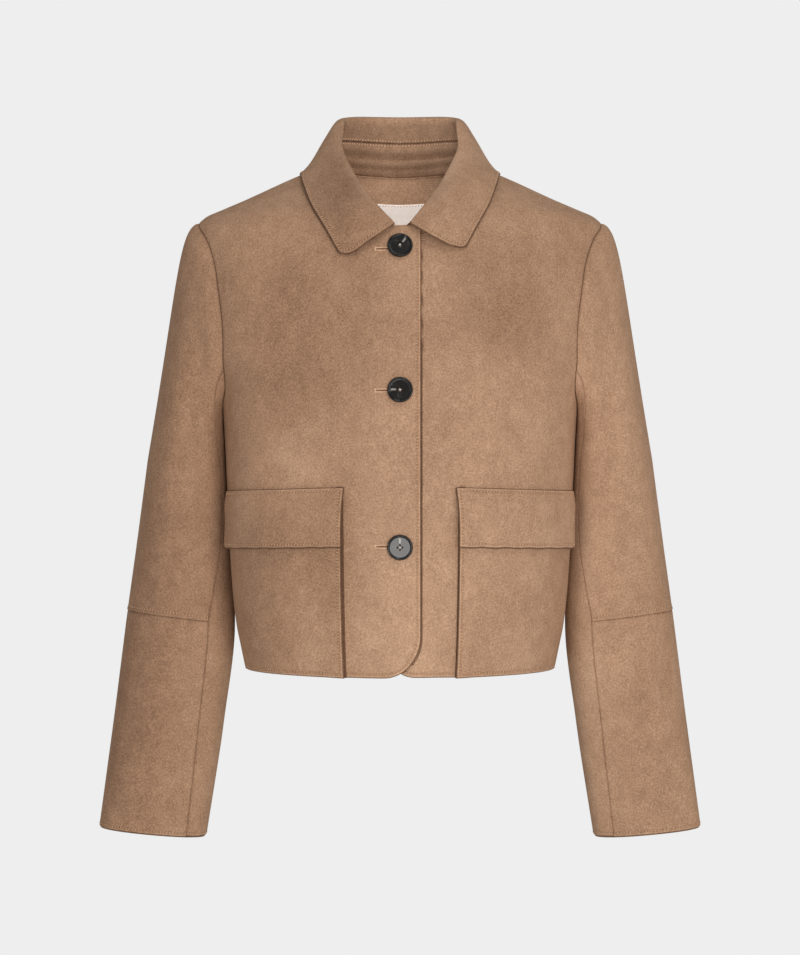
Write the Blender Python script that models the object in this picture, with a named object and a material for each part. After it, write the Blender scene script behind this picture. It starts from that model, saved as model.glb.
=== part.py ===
"""A cropped suede jacket with a shirt collar, three buttons and two flapped patch pockets.

The jacket is filled out as if worn, and hollow. Metres, +Z up. It faces -Y, and the wearer's right is
at -X. The origin lies midway between the neck ends of the two shoulder seams, where shoulders hold it.

Directions round the body are turns: 0 at the centre front, a quarter turn at the wearer's left side
and half a turn at the centre back.
"""
import math
from collections import namedtuple

import bmesh
import bpy
import numpy as np
from mathutils import Matrix, Vector

# Cloth and the gaps between pieces
CLOTH = 0.002                 # one layer of suede
FALL_CLOTH = 0.0018           # the collar's two parts are pressed thin
STAND_CLOTH = 0.0014
LABEL_CLOTH = 0.0006
SEAM_GAP = 0.0003             # between two pieces sewn edge to edge
SLEEVE_SEAM_GAP = 0.0007      # between the sleeve's pieces, whose seams twist
ARMHOLE_GAP = 0.0007          # between the sleeve and the body
LAY_GAP = 0.0004              # between a piece and the panel it lies on
SHARP = math.radians(40)      # faces that meet at more than this have a hard edge

# Body
FRONT_EXTENSION = 0.0205      # each front edge passes the centre line by this much
HEM_CORNER = 0.038            # radius of the fronts' lower corners
UNDERLAP_DEPTH = CLOTH + 2 * LAY_GAP
UNDERLAP_MARGIN = 0.010       # how far past the outer front's edge the under front stays sunk
UNDERLAP_FADE = 0.030         # width over which it then comes level with the outer one

# Neck opening in plan
NECK_HALF_WIDTH = 0.078
NECK_FRONT = 0.0885
NECK_BACK = 0.0868
NECK_CORNER = -0.067          # about the height at which a front edge meets the neck

# Armhole, an egg in the side view
ARMHOLE_TOP = -0.057
ARMHOLE_BOTTOM = -0.247
ARMHOLE_FRONT = 0.068
ARMHOLE_BACK = 0.062
ARMHOLE_EGG = 0.2             # how much fuller its lower half is

# Pockets, as turns from the centre front
POCKET_INNER = math.radians(25.5)
POCKET_OUTER = math.radians(78.0)
FLAP_OVERHANG = math.radians(1.3)
POCKET_BULGE = 0.0016
FLAP_LIFT = 0.0021            # the flap's stand-off from the pocket's face
FLAP_FLARE = 0.0010           # and how much more its lower edge stands off
FLAP_CAUGHT = 0.6             # share across the flap from which its outer end is caught down
FLAP_CAUGHT_LIFT = 0.1        # share of the stand-off that is left there at the pocket's mouth
FLAP_CORNER_LIFT = 0.8        # and at the flap's lower corner, which flares out again

# Collar
COLLAR_END = 176.0            # degrees round from the centre back to where each leaf starts
STAND_SHARE = 0.57            # where the stand meets the fall, on the way up to the roll line
STAND_SHARE_AT_END = 0.45
COLLAR_REST = 0.0011          # between the fall's wrong side and the body
LEAF_CORNER = (0.030, 0.18)   # the leaf's rounded corner, as shares of the collar's length and width
NECK_CLEARANCE = 0.0009       # between the stand and the neck seam of the body
COLLAR_SEAM_GAP = 0.0008      # between the stand and the fall
COLLAR_GIVE = 0.0006          # how softly the fall comes to rest on the body
COLLAR_FREE = 0.004           # the height above which it no longer rests there

# Buttons
BUTTON_RADIUS = 0.0123
BUTTON_THICKNESS = 0.0036
BUTTON_RIM = 0.0021
BUTTON_DISH = 0.0010
BUTTON_ROUND = 0.0008         # the rim's rounding, and its fall towards the dish
BUTTON_SLOPE = 0.0012
BUTTON_HOLE = 0.0011
BUTTON_HOLE_OFFSET = 0.0021
BUTTON_HEIGHTS = (-0.0880, -0.2272, -0.3778)
BUTTON_TURNS = (math.radians(35), math.radians(10), 0.0)   # how far round each one is sewn on

# Label inside the back neck
LABEL_GAP = 0.0008
LABEL_COLUMNS = 1.45          # half its width, in columns of the back's grid
LABEL_TOP_ROW = 10.6          # its upper and lower edges, in rows of the back above the underarm
LABEL_BOTTOM_ROW = 9.2

# Horizontal sections of the body from above the neck to below the hem. A section is a rounded
# rectangle: square is 2 for an ellipse and grows as its corners fill out.
Section = namedtuple("Section", "height half_width front_depth back_depth front_square back_square")
BODY = (
    Section(-0.510, 0.1495, 0.1130, 0.1060, 2.60, 2.60),
    Section(-0.497, 0.1530, 0.1145, 0.1072, 2.60, 2.60),
    Section(-0.478, 0.1570, 0.1160, 0.1082, 2.60, 2.60),
    Section(-0.455, 0.1616, 0.1172, 0.1090, 2.60, 2.60),
    Section(-0.425, 0.1650, 0.1184, 0.1096, 2.60, 2.60),
    Section(-0.381, 0.1682, 0.1196, 0.1104, 2.60, 2.60),
    Section(-0.320, 0.1722, 0.1206, 0.1124, 2.60, 2.60),
    Section(-0.273, 0.1745, 0.1207, 0.1142, 2.60, 2.58),
    Section(-0.247, 0.1765, 0.1204, 0.1154, 2.60, 2.56),
    Section(-0.230, 0.1785, 0.1200, 0.1160, 2.58, 2.52),
    Section(-0.192, 0.1935, 0.1175, 0.1162, 2.50, 2.42),
    Section(-0.145, 0.2038, 0.1118, 0.1145, 2.35, 2.28),
    Section(-0.118, 0.2070, 0.1065, 0.1122, 2.20, 2.16),
    Section(-0.086, 0.2074, 0.0970, 0.1085, 2.00, 2.04),
    Section(-0.067, 0.2072, 0.0888, 0.1055, 1.88, 1.97),
    Section(-0.052, 0.1952, 0.0799, 0.1022, 1.82, 1.93),
    Section(-0.043, 0.1758, 0.0724, 0.1000, 1.80, 1.91),
    Section(-0.035, 0.1572, 0.0644, 0.0975, 1.78, 1.90),
    Section(-0.011, 0.1048, 0.0345, 0.0898, 1.75, 1.95),
    Section(0.000, 0.0780, 0.0200, 0.0854, 1.75, 2.00),
    Section(0.008, 0.0600, 0.0100, 0.0810, 1.75, 2.00),
)

# Rows of the lower body panels, from the hem up to the underarm, with their heights at the centre
# line and at the side seam. rows counts the grid rows up from the level before.
Level = namedtuple("Level", "name centre side rows")
LEVELS = (
    Level("hem", -0.5040, -0.4998, 0),
    Level("hem corner", -0.4630, -0.4610, 3),
    Level("flap bottom", -0.3775, -0.3805, 4),
    Level("pocket mouth", -0.3335, -0.3380, 2),
    Level("flap top", -0.3190, -0.3235, 1),
    Level("underarm", -0.2450, -0.2470, 3),
)
UPPER_ROWS = 13               # rows from the underarm to the shoulder
NECK_CORNER_ROW = 7           # the upper row that ends at the fronts' neck corner
FRONT_SPANS = (5, 8, 1)       # columns to the pocket's inner edge, across it, and on to the side seam
BACK_SHOULDER_COLUMNS = 6
BACK_NECK_COLUMNS = 10

# The sleeve below the armhole: its outer and inner points seen from the front, its half depth and
# its middle from front to back. along is the share of the way down from the upper arm to the cuff.
Ring = namedtuple("Ring", "along outer outer_height inner inner_height half_depth middle square")
SLEEVE = (
    Ring(0.00, 0.2523, -0.2930, 0.1742, -0.3000, 0.0640, 0.0090, 2.30),
    Ring(0.22, 0.2622, -0.3660, 0.1702, -0.3750, 0.0560, 0.0100, 2.25),
    Ring(0.45, 0.2726, -0.4430, 0.1654, -0.4560, 0.0460, 0.0060, 2.20),
    Ring(0.72, 0.2846, -0.5430, 0.1760, -0.5550, 0.0390, -0.0020, 2.20),
    Ring(1.00, 0.2992, -0.6578, 0.1928, -0.6676, 0.0340, -0.0120, 2.20),
)

# Where the sleeve's two seams run, in degrees from its outer line. down is 0 at the armhole, 1 at the
# upper arm and 2 at the cuff.
Seam = namedtuple("Seam", "down front back")
SLEEVE_SEAMS = (
    Seam(0.00, 9 * 180 / UPPER_ROWS, 17 * 180 / UPPER_ROWS),
    Seam(0.50, 138.0, 240.0),
    Seam(1.10, 152.0, 244.0),
    Seam(1.22, 146.0, 244.0),
    Seam(1.36, 129.5, 240.0),
    Seam(1.45, 122.0, 237.0),
    Seam(1.72, 124.0, 235.0),
    Seam(2.00, 129.5, 235.0),
)
UPPER_SLEEVE_COLUMNS = 18
UNDER_SLEEVE_COLUMNS = 8
CAP_ROWS = 7                  # rows from the armhole to the upper arm
ELBOW_ROWS = 3                # rows from the upper arm to the elbow seam
FOREARM_ROWS = 4
ELBOW = 0.45                  # the elbow seam's place along the sleeve
SLEEVE_LENGTH = 0.366         # from the upper arm to the cuff
UPPER_ARM = 0.05              # the sleeve's mean radius

# How the sleeve's cap leaves the armhole and turns down into the arm
CAP_LEAVE = 0.003             # outwards at the underarm
CAP_LEAVE_TOP = 0.0145        # and this much more at the shoulder
CAP_LEAVE_SIDES = 0.011       # and at the front and back
CAP_DROOP = 0.20              # downwards, as a share of that
CAP_UNDER = 0.8               # within this cosine of the underarm it hugs the body instead
CAP_UNDER_DROP = 0.010        # leaving straight down
CAP_HANG = 0.02               # how far the arm's line runs up into the cap
CAP_HANG_TOP = 0.176
ARM_SLANT = math.radians(9.7)

# The collar, from the centre back round to the leaf's end: its roll line, the crown of its fall and
# its outer edge.
Station = namedtuple("Station", "round roll_x roll_y roll_z fall_x fall_y fall_z edge_x edge_y edge_z")
COLLAR = (
    Station(0, 0.0000, 0.0660, 0.0578, 0.0000, 0.0870, 0.0360, 0.0000, 0.0950, -0.0190),
    Station(35, 0.0372, 0.0590, 0.0573, 0.0500, 0.0760, 0.0385, 0.0535, 0.0840, -0.0182),
    Station(65, 0.0580, 0.0370, 0.0520, 0.0755, 0.0430, 0.0340, 0.0958, 0.0445, -0.0130),
    Station(90, 0.0590, 0.0060, 0.0255, 0.0795, -0.0010, 0.0125, 0.1000, -0.0085, -0.0090),
    Station(120, 0.0468, -0.0350, -0.0080, 0.0675, -0.0520, -0.0165, 0.0893, -0.0625, -0.0405),
    Station(150, 0.0262, -0.0735, -0.0408, 0.0460, -0.0905, -0.0525, 0.0700, -0.0905, -0.0755),
    Station(176, 0.0050, -0.0975, -0.0658, 0.0290, -0.1050, -0.0830, 0.0556, -0.1024, -0.1024),
)
LEFT_LEAF = (                 # the leaf on the wearer's left lies a little higher and wider
    Station(150, 0.0275, -0.0735, -0.0404, 0.0470, -0.0895, -0.0500, 0.0722, -0.0890, -0.0735),
    Station(176, 0.0095, -0.0970, -0.0652, 0.0290, -0.1042, -0.0775, 0.0616, -0.1000, -0.0945),
)
COLLAR_EDGE = 4               # the outer edge's level; see collar_point for how levels run up the collar
COLLAR_HALF_COLUMNS = 20
STAND_ROWS = 2
FALL_ROWS = 8

Finish = namedtuple("Finish", "name red green blue roughness")
SUEDE = Finish("suede", 0.36, 0.21, 0.13, 0.95)
HORN = Finish("polished black button", 0.012, 0.011, 0.010, 0.18)
SATIN = Finish("bare woven label", 0.74, 0.62, 0.56, 0.70)


# ---------------------------------------------------------------- tables

def follow(rows, column, at):
    """A column of a table as a smooth curve of its first column, which overshoots no row."""
    order = sorted(rows, key=lambda row: row[0])
    places = np.array([row[0] for row in order], dtype=float)
    values = np.array([getattr(row, column) for row in order], dtype=float)
    steps = np.diff(places)
    slopes = np.diff(values) / steps
    before, after = slopes[:-1], slopes[1:]
    same_way = before * after > 0
    weight_before = 2 * steps[1:] + steps[:-1]
    weight_after = steps[1:] + 2 * steps[:-1]
    safe_before = np.where(same_way, before, 1.0)
    safe_after = np.where(same_way, after, 1.0)
    mean = (weight_before + weight_after) / (weight_before / safe_before + weight_after / safe_after)
    tangents = np.concatenate(([slopes[0]], np.where(same_way, mean, 0.0), [slopes[-1]]))
    span = np.clip(np.searchsorted(places, at) - 1, 0, len(steps) - 1)
    share = (at - places[span]) / steps[span]
    share = np.clip(share, -0.5, 1.5)
    rise = 3 * share**2 - 2 * share**3
    return (
        values[span] * (1 - rise)
        + values[span + 1] * rise
        + steps[span] * tangents[span] * (share**3 - 2 * share**2 + share)
        + steps[span] * tangents[span + 1] * (share**3 - share**2)
    )


def ease(share):
    """0 to 1 with level ends."""
    share = np.clip(share, 0.0, 1.0)
    return share * share * (3 - 2 * share)


def blend(first, second, share):
    return first * (1 - share) + second * share


def unit(vectors):
    return vectors / np.linalg.norm(vectors, axis=-1, keepdims=True)


def normals_of(surface, across, up, step_across, step_up):
    """Unit normals of a surface of two numbers, by small steps either way."""
    along_across = surface(across + step_across, up) - surface(across - step_across, up)
    along_up = surface(across, up + step_up) - surface(across, up - step_up)
    return unit(np.cross(along_across, along_up))


# ---------------------------------------------------------------- the body's form

def body_radius(turn, height):
    """Distance from the upright axis to the body's outer surface."""
    front = np.cos(turn) > 0
    half_width = follow(BODY, "half_width", height)
    depth = np.where(front, follow(BODY, "front_depth", height), follow(BODY, "back_depth", height))
    square = np.where(front, follow(BODY, "front_square", height), follow(BODY, "back_square", height))
    sideways = (np.abs(np.sin(turn)) / half_width) ** square
    forwards = (np.abs(np.cos(turn)) / depth) ** square
    return (sideways + forwards) ** (-1 / square)


def body_point(turn, height):
    radius = body_radius(turn, height)
    return np.stack((radius * np.sin(turn), -radius * np.cos(turn), height + 0 * turn), axis=-1)


def body_normal(turn, height):
    return normals_of(body_point, turn, height, 0.004, 0.0008)


def on_body(turn, height, out):
    """A point moved out from the body's surface by a distance, inwards where it is negative."""
    return body_point(turn, height) + body_normal(turn, height) * np.asarray(out)[..., None]


def turn_at_depth(forward, height):
    """The turn, on the wearer's left, of the body's point this far in front of the upright axis."""
    front = forward > 0
    half_width = follow(BODY, "half_width", height)
    depth = np.where(front, follow(BODY, "front_depth", height), follow(BODY, "back_depth", height))
    square = np.where(front, follow(BODY, "front_square", height), follow(BODY, "back_square", height))
    share = np.clip(np.abs(forward) / depth, 0, 1) ** square
    sideways = half_width * (1 - share) ** (1 / square)
    return np.arctan2(sideways, forward)


def neck_radius(turn):
    depth = np.where(np.cos(turn) > 0, NECK_FRONT, NECK_BACK)
    return 1 / np.sqrt((np.sin(turn) / NECK_HALF_WIDTH) ** 2 + (np.cos(turn) / depth) ** 2)


def neck_height(turn):
    """Height at which the body's surface meets the upright wall of the neck opening."""
    low = np.full_like(turn, BODY[8].height)
    high = np.full_like(turn, 0.006)
    for _ in range(40):
        middle = (low + high) / 2
        too_wide = body_radius(turn, middle) > neck_radius(turn)
        low = np.where(too_wide, middle, low)
        high = np.where(too_wide, high, middle)
    return np.minimum((low + high) / 2, 0.0)


def armhole(angle):
    """Turn, on the wearer's left, and height of the armhole: angle 0 at the shoulder, then the front."""
    middle = (ARMHOLE_TOP + ARMHOLE_BOTTOM) / 2
    half_height = (ARMHOLE_TOP - ARMHOLE_BOTTOM) / 2
    height = middle + half_height * np.cos(angle)
    reach = np.where(np.sin(angle) > 0, ARMHOLE_FRONT, ARMHOLE_BACK)
    forward = reach * np.sin(angle) * (1 - ARMHOLE_EGG * np.cos(angle))
    return turn_at_depth(forward, height), height


# ---------------------------------------------------------------- cutting and placing

def round_corner(across, up, size_across, size_up):
    """Round the corner of a unit square at its start, keeping every line outside that corner."""
    inner_across = np.clip(1 - across / size_across, 0, None)
    inner_up = np.clip(1 - up / size_up, 0, None)
    corner = (inner_across > 0) & (inner_up > 0)
    round_across = size_across * (1 - inner_across * np.sqrt(1 - np.minimum(inner_up, 1) ** 2 / 2))
    round_up = size_up * (1 - inner_up * np.sqrt(1 - np.minimum(inner_across, 1) ** 2 / 2))
    return np.where(corner, round_across, across), np.where(corner, round_up, up)


def new_material(finish):
    material = bpy.data.materials.new(finish.name)
    material.use_nodes = True
    shader = material.node_tree.nodes["Principled BSDF"]
    shader.inputs["Base Color"].default_value = (finish.red, finish.green, finish.blue, 1)
    shader.inputs["Roughness"].default_value = finish.roughness
    shader.inputs["Metallic"].default_value = 0
    return material


def add_object(name, mesh, finish):
    mesh.materials.append(new_material(finish))
    mesh.shade_smooth()
    mesh.set_sharp_from_angle(angle=SHARP)
    piece = bpy.data.objects.new(name, mesh)
    bpy.context.collection.objects.link(piece)
    return piece


def cut_piece(name, columns, rows, place, finish=SUEDE):
    """A wall of cloth: a grid doubled into a closed slab, whose corners are then put in place.

    place takes each corner's share across, share up and layer, 0 on the right side of the cloth.
    """
    bm = bmesh.new()
    bmesh.ops.create_grid(bm, x_segments=columns, y_segments=rows, size=0.5)
    doubled = bmesh.ops.extrude_face_region(bm, geom=bm.faces[:], use_keep_orig=True)
    wrong_side = [item for item in doubled["geom"] if isinstance(item, bmesh.types.BMVert)]
    bmesh.ops.translate(bm, verts=wrong_side, vec=(0, 0, 1))
    bmesh.ops.translate(bm, verts=bm.verts[:], vec=(0.5, 0.5, 0))
    bmesh.ops.recalc_face_normals(bm, faces=bm.faces[:])
    corners = np.array([vertex.co for vertex in bm.verts])
    placed = place(corners[:, 0], corners[:, 1], np.round(corners[:, 2]))
    for vertex, point in zip(bm.verts, placed):
        vertex.co = point
    if bm.calc_volume(signed=True) < 0:
        bmesh.ops.reverse_faces(bm, faces=bm.faces[:])
    mesh = bpy.data.meshes.new(name)
    bm.to_mesh(mesh)
    bm.free()
    return add_object(name, mesh, finish)


# ---------------------------------------------------------------- body panels

LOWER_ROWS = sum(level.rows for level in LEVELS)
PANEL_ROWS = LOWER_ROWS + UPPER_ROWS
FRONT_COLUMNS = sum(FRONT_SPANS)
BACK_COLUMNS = 2 * BACK_SHOULDER_COLUMNS + BACK_NECK_COLUMNS


def row_at(name):
    """The grid row that runs at a named level."""
    row = 0
    for level in LEVELS:
        row += level.rows
        if level.name == name:
            return row
    raise ValueError(name)


def lower_height(row, turn):
    """Height of a lower row of the body panels at any turn."""
    stops = np.cumsum([level.rows for level in LEVELS])
    centre = np.interp(row, stops, [level.centre for level in LEVELS])
    side = np.interp(row, stops, [level.side for level in LEVELS])
    return blend(centre, side, np.sin(turn) ** 2)


def side_turn(height):
    """The side and shoulder seams' turn, short of a quarter turn by half a seam's gap."""
    return math.pi / 2 - SEAM_GAP / 2 / follow(BODY, "half_width", height)


def edge_turn(height):
    """The front edge's turn, past the centre line."""
    return -np.arctan2(FRONT_EXTENSION, follow(BODY, "front_depth", height))


def front_lower(column, row):
    """Turn and height on a front panel below the underarm."""
    stops = np.cumsum((0,) + FRONT_SPANS)
    height = lower_height(row, 0 * row)
    turn = np.where(
        column < stops[1],
        blend(edge_turn(height), POCKET_INNER, column / stops[1]),
        np.interp(column, stops, (0, POCKET_INNER, POCKET_OUTER, math.pi / 2)),
    )
    height = lower_height(row, turn)
    return np.minimum(turn, side_turn(height)), height


def front_inner_edge(row):
    """Turn and height up a front edge and round the neck, for rows above the underarm."""
    start = lower_height(np.array(float(LOWER_ROWS)), np.array(0.0))
    corner_turn = edge_turn(np.array(NECK_CORNER))
    corner_height = neck_height(corner_turn)
    up_edge = np.clip(row / NECK_CORNER_ROW, 0, 1)
    edge_height = blend(start, corner_height, up_edge)
    neck_rows = UPPER_ROWS - NECK_CORNER_ROW
    leaf_turn = math.radians(180 - COLLAR_END)
    neck_turn = np.interp(row - NECK_CORNER_ROW, (0, 1, neck_rows), (corner_turn, leaf_turn, math.pi / 2))
    on_edge = row < NECK_CORNER_ROW
    turn = np.where(on_edge, edge_turn(edge_height), neck_turn)
    return turn, np.where(on_edge, edge_height, neck_height(neck_turn))


def fill_between(across, up, bottom, top, start, end):
    """A point of a four-sided patch from its edges, each given as turn and height."""
    filled = []
    for side in range(2):
        ruled_up = blend(bottom(across)[side], top(across)[side], up)
        ruled_across = blend(start(up)[side], end(up)[side], across)
        zero, one = np.zeros_like(across), np.ones_like(across)
        lower = blend(bottom(zero)[side], bottom(one)[side], across)
        upper = blend(top(zero)[side], top(one)[side], across)
        filled.append(ruled_up + ruled_across - blend(lower, upper, up))
    return filled


def front_upper(column, row):
    """Turn and height on a front panel above the underarm."""

    def bottom(across):
        return front_lower(across * FRONT_COLUMNS, np.full_like(across, LOWER_ROWS))

    def shoulder(across):
        height = ARMHOLE_TOP * across
        return side_turn(height), height

    def inner_edge(up):
        return front_inner_edge(up * UPPER_ROWS)

    def armhole_edge(up):
        turn, height = armhole(math.pi * (1 - up))
        return np.minimum(turn, side_turn(height)), height

    across, up = column / FRONT_COLUMNS, row / UPPER_ROWS
    return fill_between(across, up, bottom, shoulder, inner_edge, armhole_edge)


def front_place(column, row):
    """Turn and height on a front panel, for any column and row of its grid."""
    low = front_lower(column, np.minimum(row, LOWER_ROWS))
    high = front_upper(column, np.maximum(row - LOWER_ROWS, 0.0))
    above = row > LOWER_ROWS
    return np.where(above, high[0], low[0]), np.where(above, high[1], low[1])


def corner_sizes():
    """The hem corner's radius, as shares of the front's columns and rows."""
    hem_depth = follow(BODY, "front_depth", LEVELS[0].centre)
    to_pocket = FRONT_EXTENSION + hem_depth * math.tan(POCKET_INNER)
    share_across = HEM_CORNER / to_pocket * FRONT_SPANS[0] / FRONT_COLUMNS
    return share_across, row_at("hem corner") / PANEL_ROWS


def front_panel(name, side, depth_near_edge):
    """side is -1 for the wearer's right. depth_near_edge sinks the front that lies underneath."""
    def place(across, up, layer):
        across, up = round_corner(across, up, *corner_sizes())
        turn, height = front_place(across * FRONT_COLUMNS, up * PANEL_ROWS)
        sideways = body_radius(turn, height) * np.sin(turn)
        fade = ease((sideways - FRONT_EXTENSION - UNDERLAP_MARGIN) / UNDERLAP_FADE)
        out = -depth_near_edge * (1 - fade) - CLOTH * layer
        points = on_body(turn, height, out)
        points[:, 0] *= side
        return points

    return cut_piece(name, FRONT_COLUMNS, PANEL_ROWS, place)


def back_place(column, row):
    """Turn and height on the back, whose columns run from the wearer's left side to the right."""
    across = column / BACK_COLUMNS

    def seam_to_seam(share, height):
        edge = side_turn(height)
        return blend(math.pi - edge, math.pi + edge, share)

    def lower(share, at_row):
        turn = seam_to_seam(share, lower_height(at_row, np.full_like(share, math.pi / 2)))
        return turn, lower_height(at_row, turn)

    def bottom(share):
        return lower(share, np.full_like(share, LOWER_ROWS))

    def top(share):
        col = share * BACK_COLUMNS
        from_neck = np.clip(np.abs(col - BACK_COLUMNS / 2) - BACK_NECK_COLUMNS / 2, 0, None)
        shoulder_height = ARMHOLE_TOP * from_neck / BACK_SHOULDER_COLUMNS
        round_neck = np.clip((col - BACK_SHOULDER_COLUMNS) / BACK_NECK_COLUMNS, 0, 1)
        turn = seam_to_seam(round_neck, shoulder_height)
        return turn, np.where(from_neck > 0, shoulder_height, neck_height(turn))

    def left_armhole(up):
        turn, height = armhole(math.pi * (1 + up))
        return np.maximum(turn, math.pi - side_turn(height)), height

    def right_armhole(up):
        turn, height = left_armhole(up)
        return 2 * math.pi - turn, height

    low = lower(across, np.minimum(row, LOWER_ROWS))
    up = np.maximum(row - LOWER_ROWS, 0.0) / UPPER_ROWS
    high = fill_between(across, up, bottom, top, left_armhole, right_armhole)
    above = row > LOWER_ROWS
    return np.where(above, high[0], low[0]), np.where(above, high[1], low[1])


def back_panel():
    def place(across, up, layer):
        turn, height = back_place(across * BACK_COLUMNS, up * PANEL_ROWS)
        return on_body(turn, height, -CLOTH * layer)

    return cut_piece("back", BACK_COLUMNS, PANEL_ROWS, place)


def between_corners(grid_point, column, row):
    """A point on the flat facets of a panel, from the four grid corners round it."""
    left, below = np.floor(column), np.floor(row)
    share_across, share_up = (column - left)[:, None], (row - below)[:, None]
    low = blend(grid_point(left, below), grid_point(left + 1, below), share_across)
    high = blend(grid_point(left, below + 1), grid_point(left + 1, below + 1), share_across)
    return blend(low, high, share_up)


def neck_label():
    """A bare woven label inside the back neck, laid on the back's own facets."""

    def lining_side(out):
        def corner(column, row):
            turn, height = back_place(column, row)
            return on_body(turn, height, np.full_like(turn, out))
        return corner

    def place(across, up, layer):
        column = BACK_COLUMNS / 2 + blend(-LABEL_COLUMNS, LABEL_COLUMNS, across)
        row = LOWER_ROWS + blend(LABEL_BOTTOM_ROW, LABEL_TOP_ROW, up)
        near = between_corners(lining_side(-CLOTH - LABEL_GAP), column, row)
        far = between_corners(lining_side(-CLOTH - LABEL_GAP - LABEL_CLOTH), column, row)
        return blend(near, far, layer[:, None])

    return cut_piece("neck_label", 6, 3, place, SATIN)


# ---------------------------------------------------------------- pockets

def pocket_out(column, row):
    """How far the pocket's wrong side stands off the front: flat at its stitched edges."""
    mouth = row_at("pocket mouth")
    across = np.clip((column - FRONT_SPANS[0]) / FRONT_SPANS[1], 0, 1)
    up = np.clip(row / mouth, 0, 1)
    return LAY_GAP + POCKET_BULGE * np.sin(math.pi * across) ** 0.5 * ease(up * 2)


def pocket(name, side):
    mouth = row_at("pocket mouth")

    def place(across, up, layer):
        column = FRONT_SPANS[0] + across * FRONT_SPANS[1]
        row = up * mouth
        turn, height = front_place(column, row)
        points = on_body(turn, height, pocket_out(column, row) + CLOTH * (1 - layer))
        points[:, 0] *= side
        return points

    return cut_piece(name, FRONT_SPANS[1], mouth, place)


def pocket_flap(name, side):
    bottom, mouth, top = row_at("flap bottom"), row_at("pocket mouth"), row_at("flap top")

    def place(across, up, layer):
        column = FRONT_SPANS[0] + across * FRONT_SPANS[1]
        row = blend(bottom, top, up)
        turn, height = front_place(column, row)
        turn = turn - FLAP_OVERHANG * (1 - ease(across * FRONT_SPANS[1]))
        over_pocket = pocket_out(column, np.minimum(row, mouth)) + CLOTH + LAY_GAP
        caught = blend(FLAP_CORNER_LIFT, FLAP_CAUGHT_LIFT, ease((row - bottom) / (mouth - bottom)))
        stands_off = blend(1.0, caught, ease((across - FLAP_CAUGHT) / (1 - FLAP_CAUGHT)))
        lifted = over_pocket + stands_off * (FLAP_LIFT + FLAP_FLARE * (mouth - row) / (mouth - bottom))
        out = np.where(row > mouth, blend(lifted, LAY_GAP, (row - mouth) / (top - mouth)), lifted)
        points = on_body(turn, height, out + CLOTH * (1 - layer))
        points[:, 0] *= side
        return points

    return cut_piece(name, FRONT_SPANS[1], top - bottom, place)


# ---------------------------------------------------------------- sleeves

def sleeve_ring(angle, along):
    """A point of the sleeve below the cap: angle 0 on the outer line, a quarter turn in front."""
    square = follow(SLEEVE, "square", along)
    outwards = np.sign(np.cos(angle)) * np.abs(np.cos(angle)) ** (2 / square)
    forwards = np.sign(np.sin(angle)) * np.abs(np.sin(angle)) ** (2 / square)
    outer, inner = follow(SLEEVE, "outer", along), follow(SLEEVE, "inner", along)
    outer_height = follow(SLEEVE, "outer_height", along)
    inner_height = follow(SLEEVE, "inner_height", along)
    share = (1 - outwards) / 2
    middle, half_depth = follow(SLEEVE, "middle", along), follow(SLEEVE, "half_depth", along)
    height = blend(outer_height, inner_height, share)
    return np.stack((blend(outer, inner, share), middle - half_depth * forwards, height), axis=-1)


def sleeve_cap(angle, down):
    """A point between the armhole, where down is 0, and the upper arm, where it is 1."""
    turn, height = armhole(np.mod(angle, 2 * math.pi))
    start = body_point(turn, height) + np.array((ARMHOLE_GAP, 0, 0))
    end = sleeve_ring(angle, np.zeros_like(angle))
    towards_top = (1 + np.cos(angle)) / 2
    out = CAP_LEAVE + CAP_LEAVE_TOP * towards_top + CAP_LEAVE_SIDES * np.abs(np.sin(angle))
    hugging = ease((-np.cos(angle) - CAP_UNDER) / (1 - CAP_UNDER))
    drop = CAP_DROOP * out * towards_top + CAP_UNDER_DROP * hugging
    leave = np.stack((out * (1 - hugging), -CAP_LEAVE * np.sin(angle), -drop), axis=-1)
    hang = CAP_HANG + CAP_HANG_TOP * towards_top**1.3
    slant = -math.sin(ARM_SLANT) * hang * towards_top
    arrive = np.stack((slant, 0 * hang, math.cos(ARM_SLANT) * hang), axis=-1)
    share = down[..., None]
    return (
        start * (1 - share) ** 3
        + 3 * (start + leave) * share * (1 - share) ** 2
        + 3 * (end + arrive) * share**2 * (1 - share)
        + end * share**3
    )


def sleeve_point(angle, down):
    """A point of the outer surface: down runs 0 to 1 over the cap, then on to 2 at the cuff."""
    cap = sleeve_cap(angle, np.clip(down, 0, 1))
    arm = sleeve_ring(angle, np.clip(down - 1, 0, 1))
    return np.where((down < 1)[..., None], cap, arm)


def sleeve_normal(angle, down):
    clear = np.clip(down, 0.01, 1.99)
    clear = np.where(np.abs(clear - 1) < 0.01, 1.012, clear)
    return normals_of(sleeve_point, angle, clear, 0.01, 0.01)


def sleeve_piece(name, side, columns, downs, under=False):
    """An outer piece, from the back seam over the arm to the front seam, or the under piece."""
    half_gap = math.degrees(SLEEVE_SEAM_GAP / 2 / UPPER_ARM)
    rows = len(downs) - 1

    def place(across, up, layer):
        down = np.interp(up * rows, np.arange(rows + 1), downs)
        front, back = follow(SLEEVE_SEAMS, "front", down), follow(SLEEVE_SEAMS, "back", down)
        first, last = (front, back) if under else (back - 360, front)
        angle = np.radians(blend(first + half_gap, last - half_gap, across))
        points = sleeve_point(angle, down) - sleeve_normal(angle, down) * (CLOTH * layer)[..., None]
        points[:, 0] *= side
        return points

    return cut_piece(name, columns, rows, place)


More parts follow.
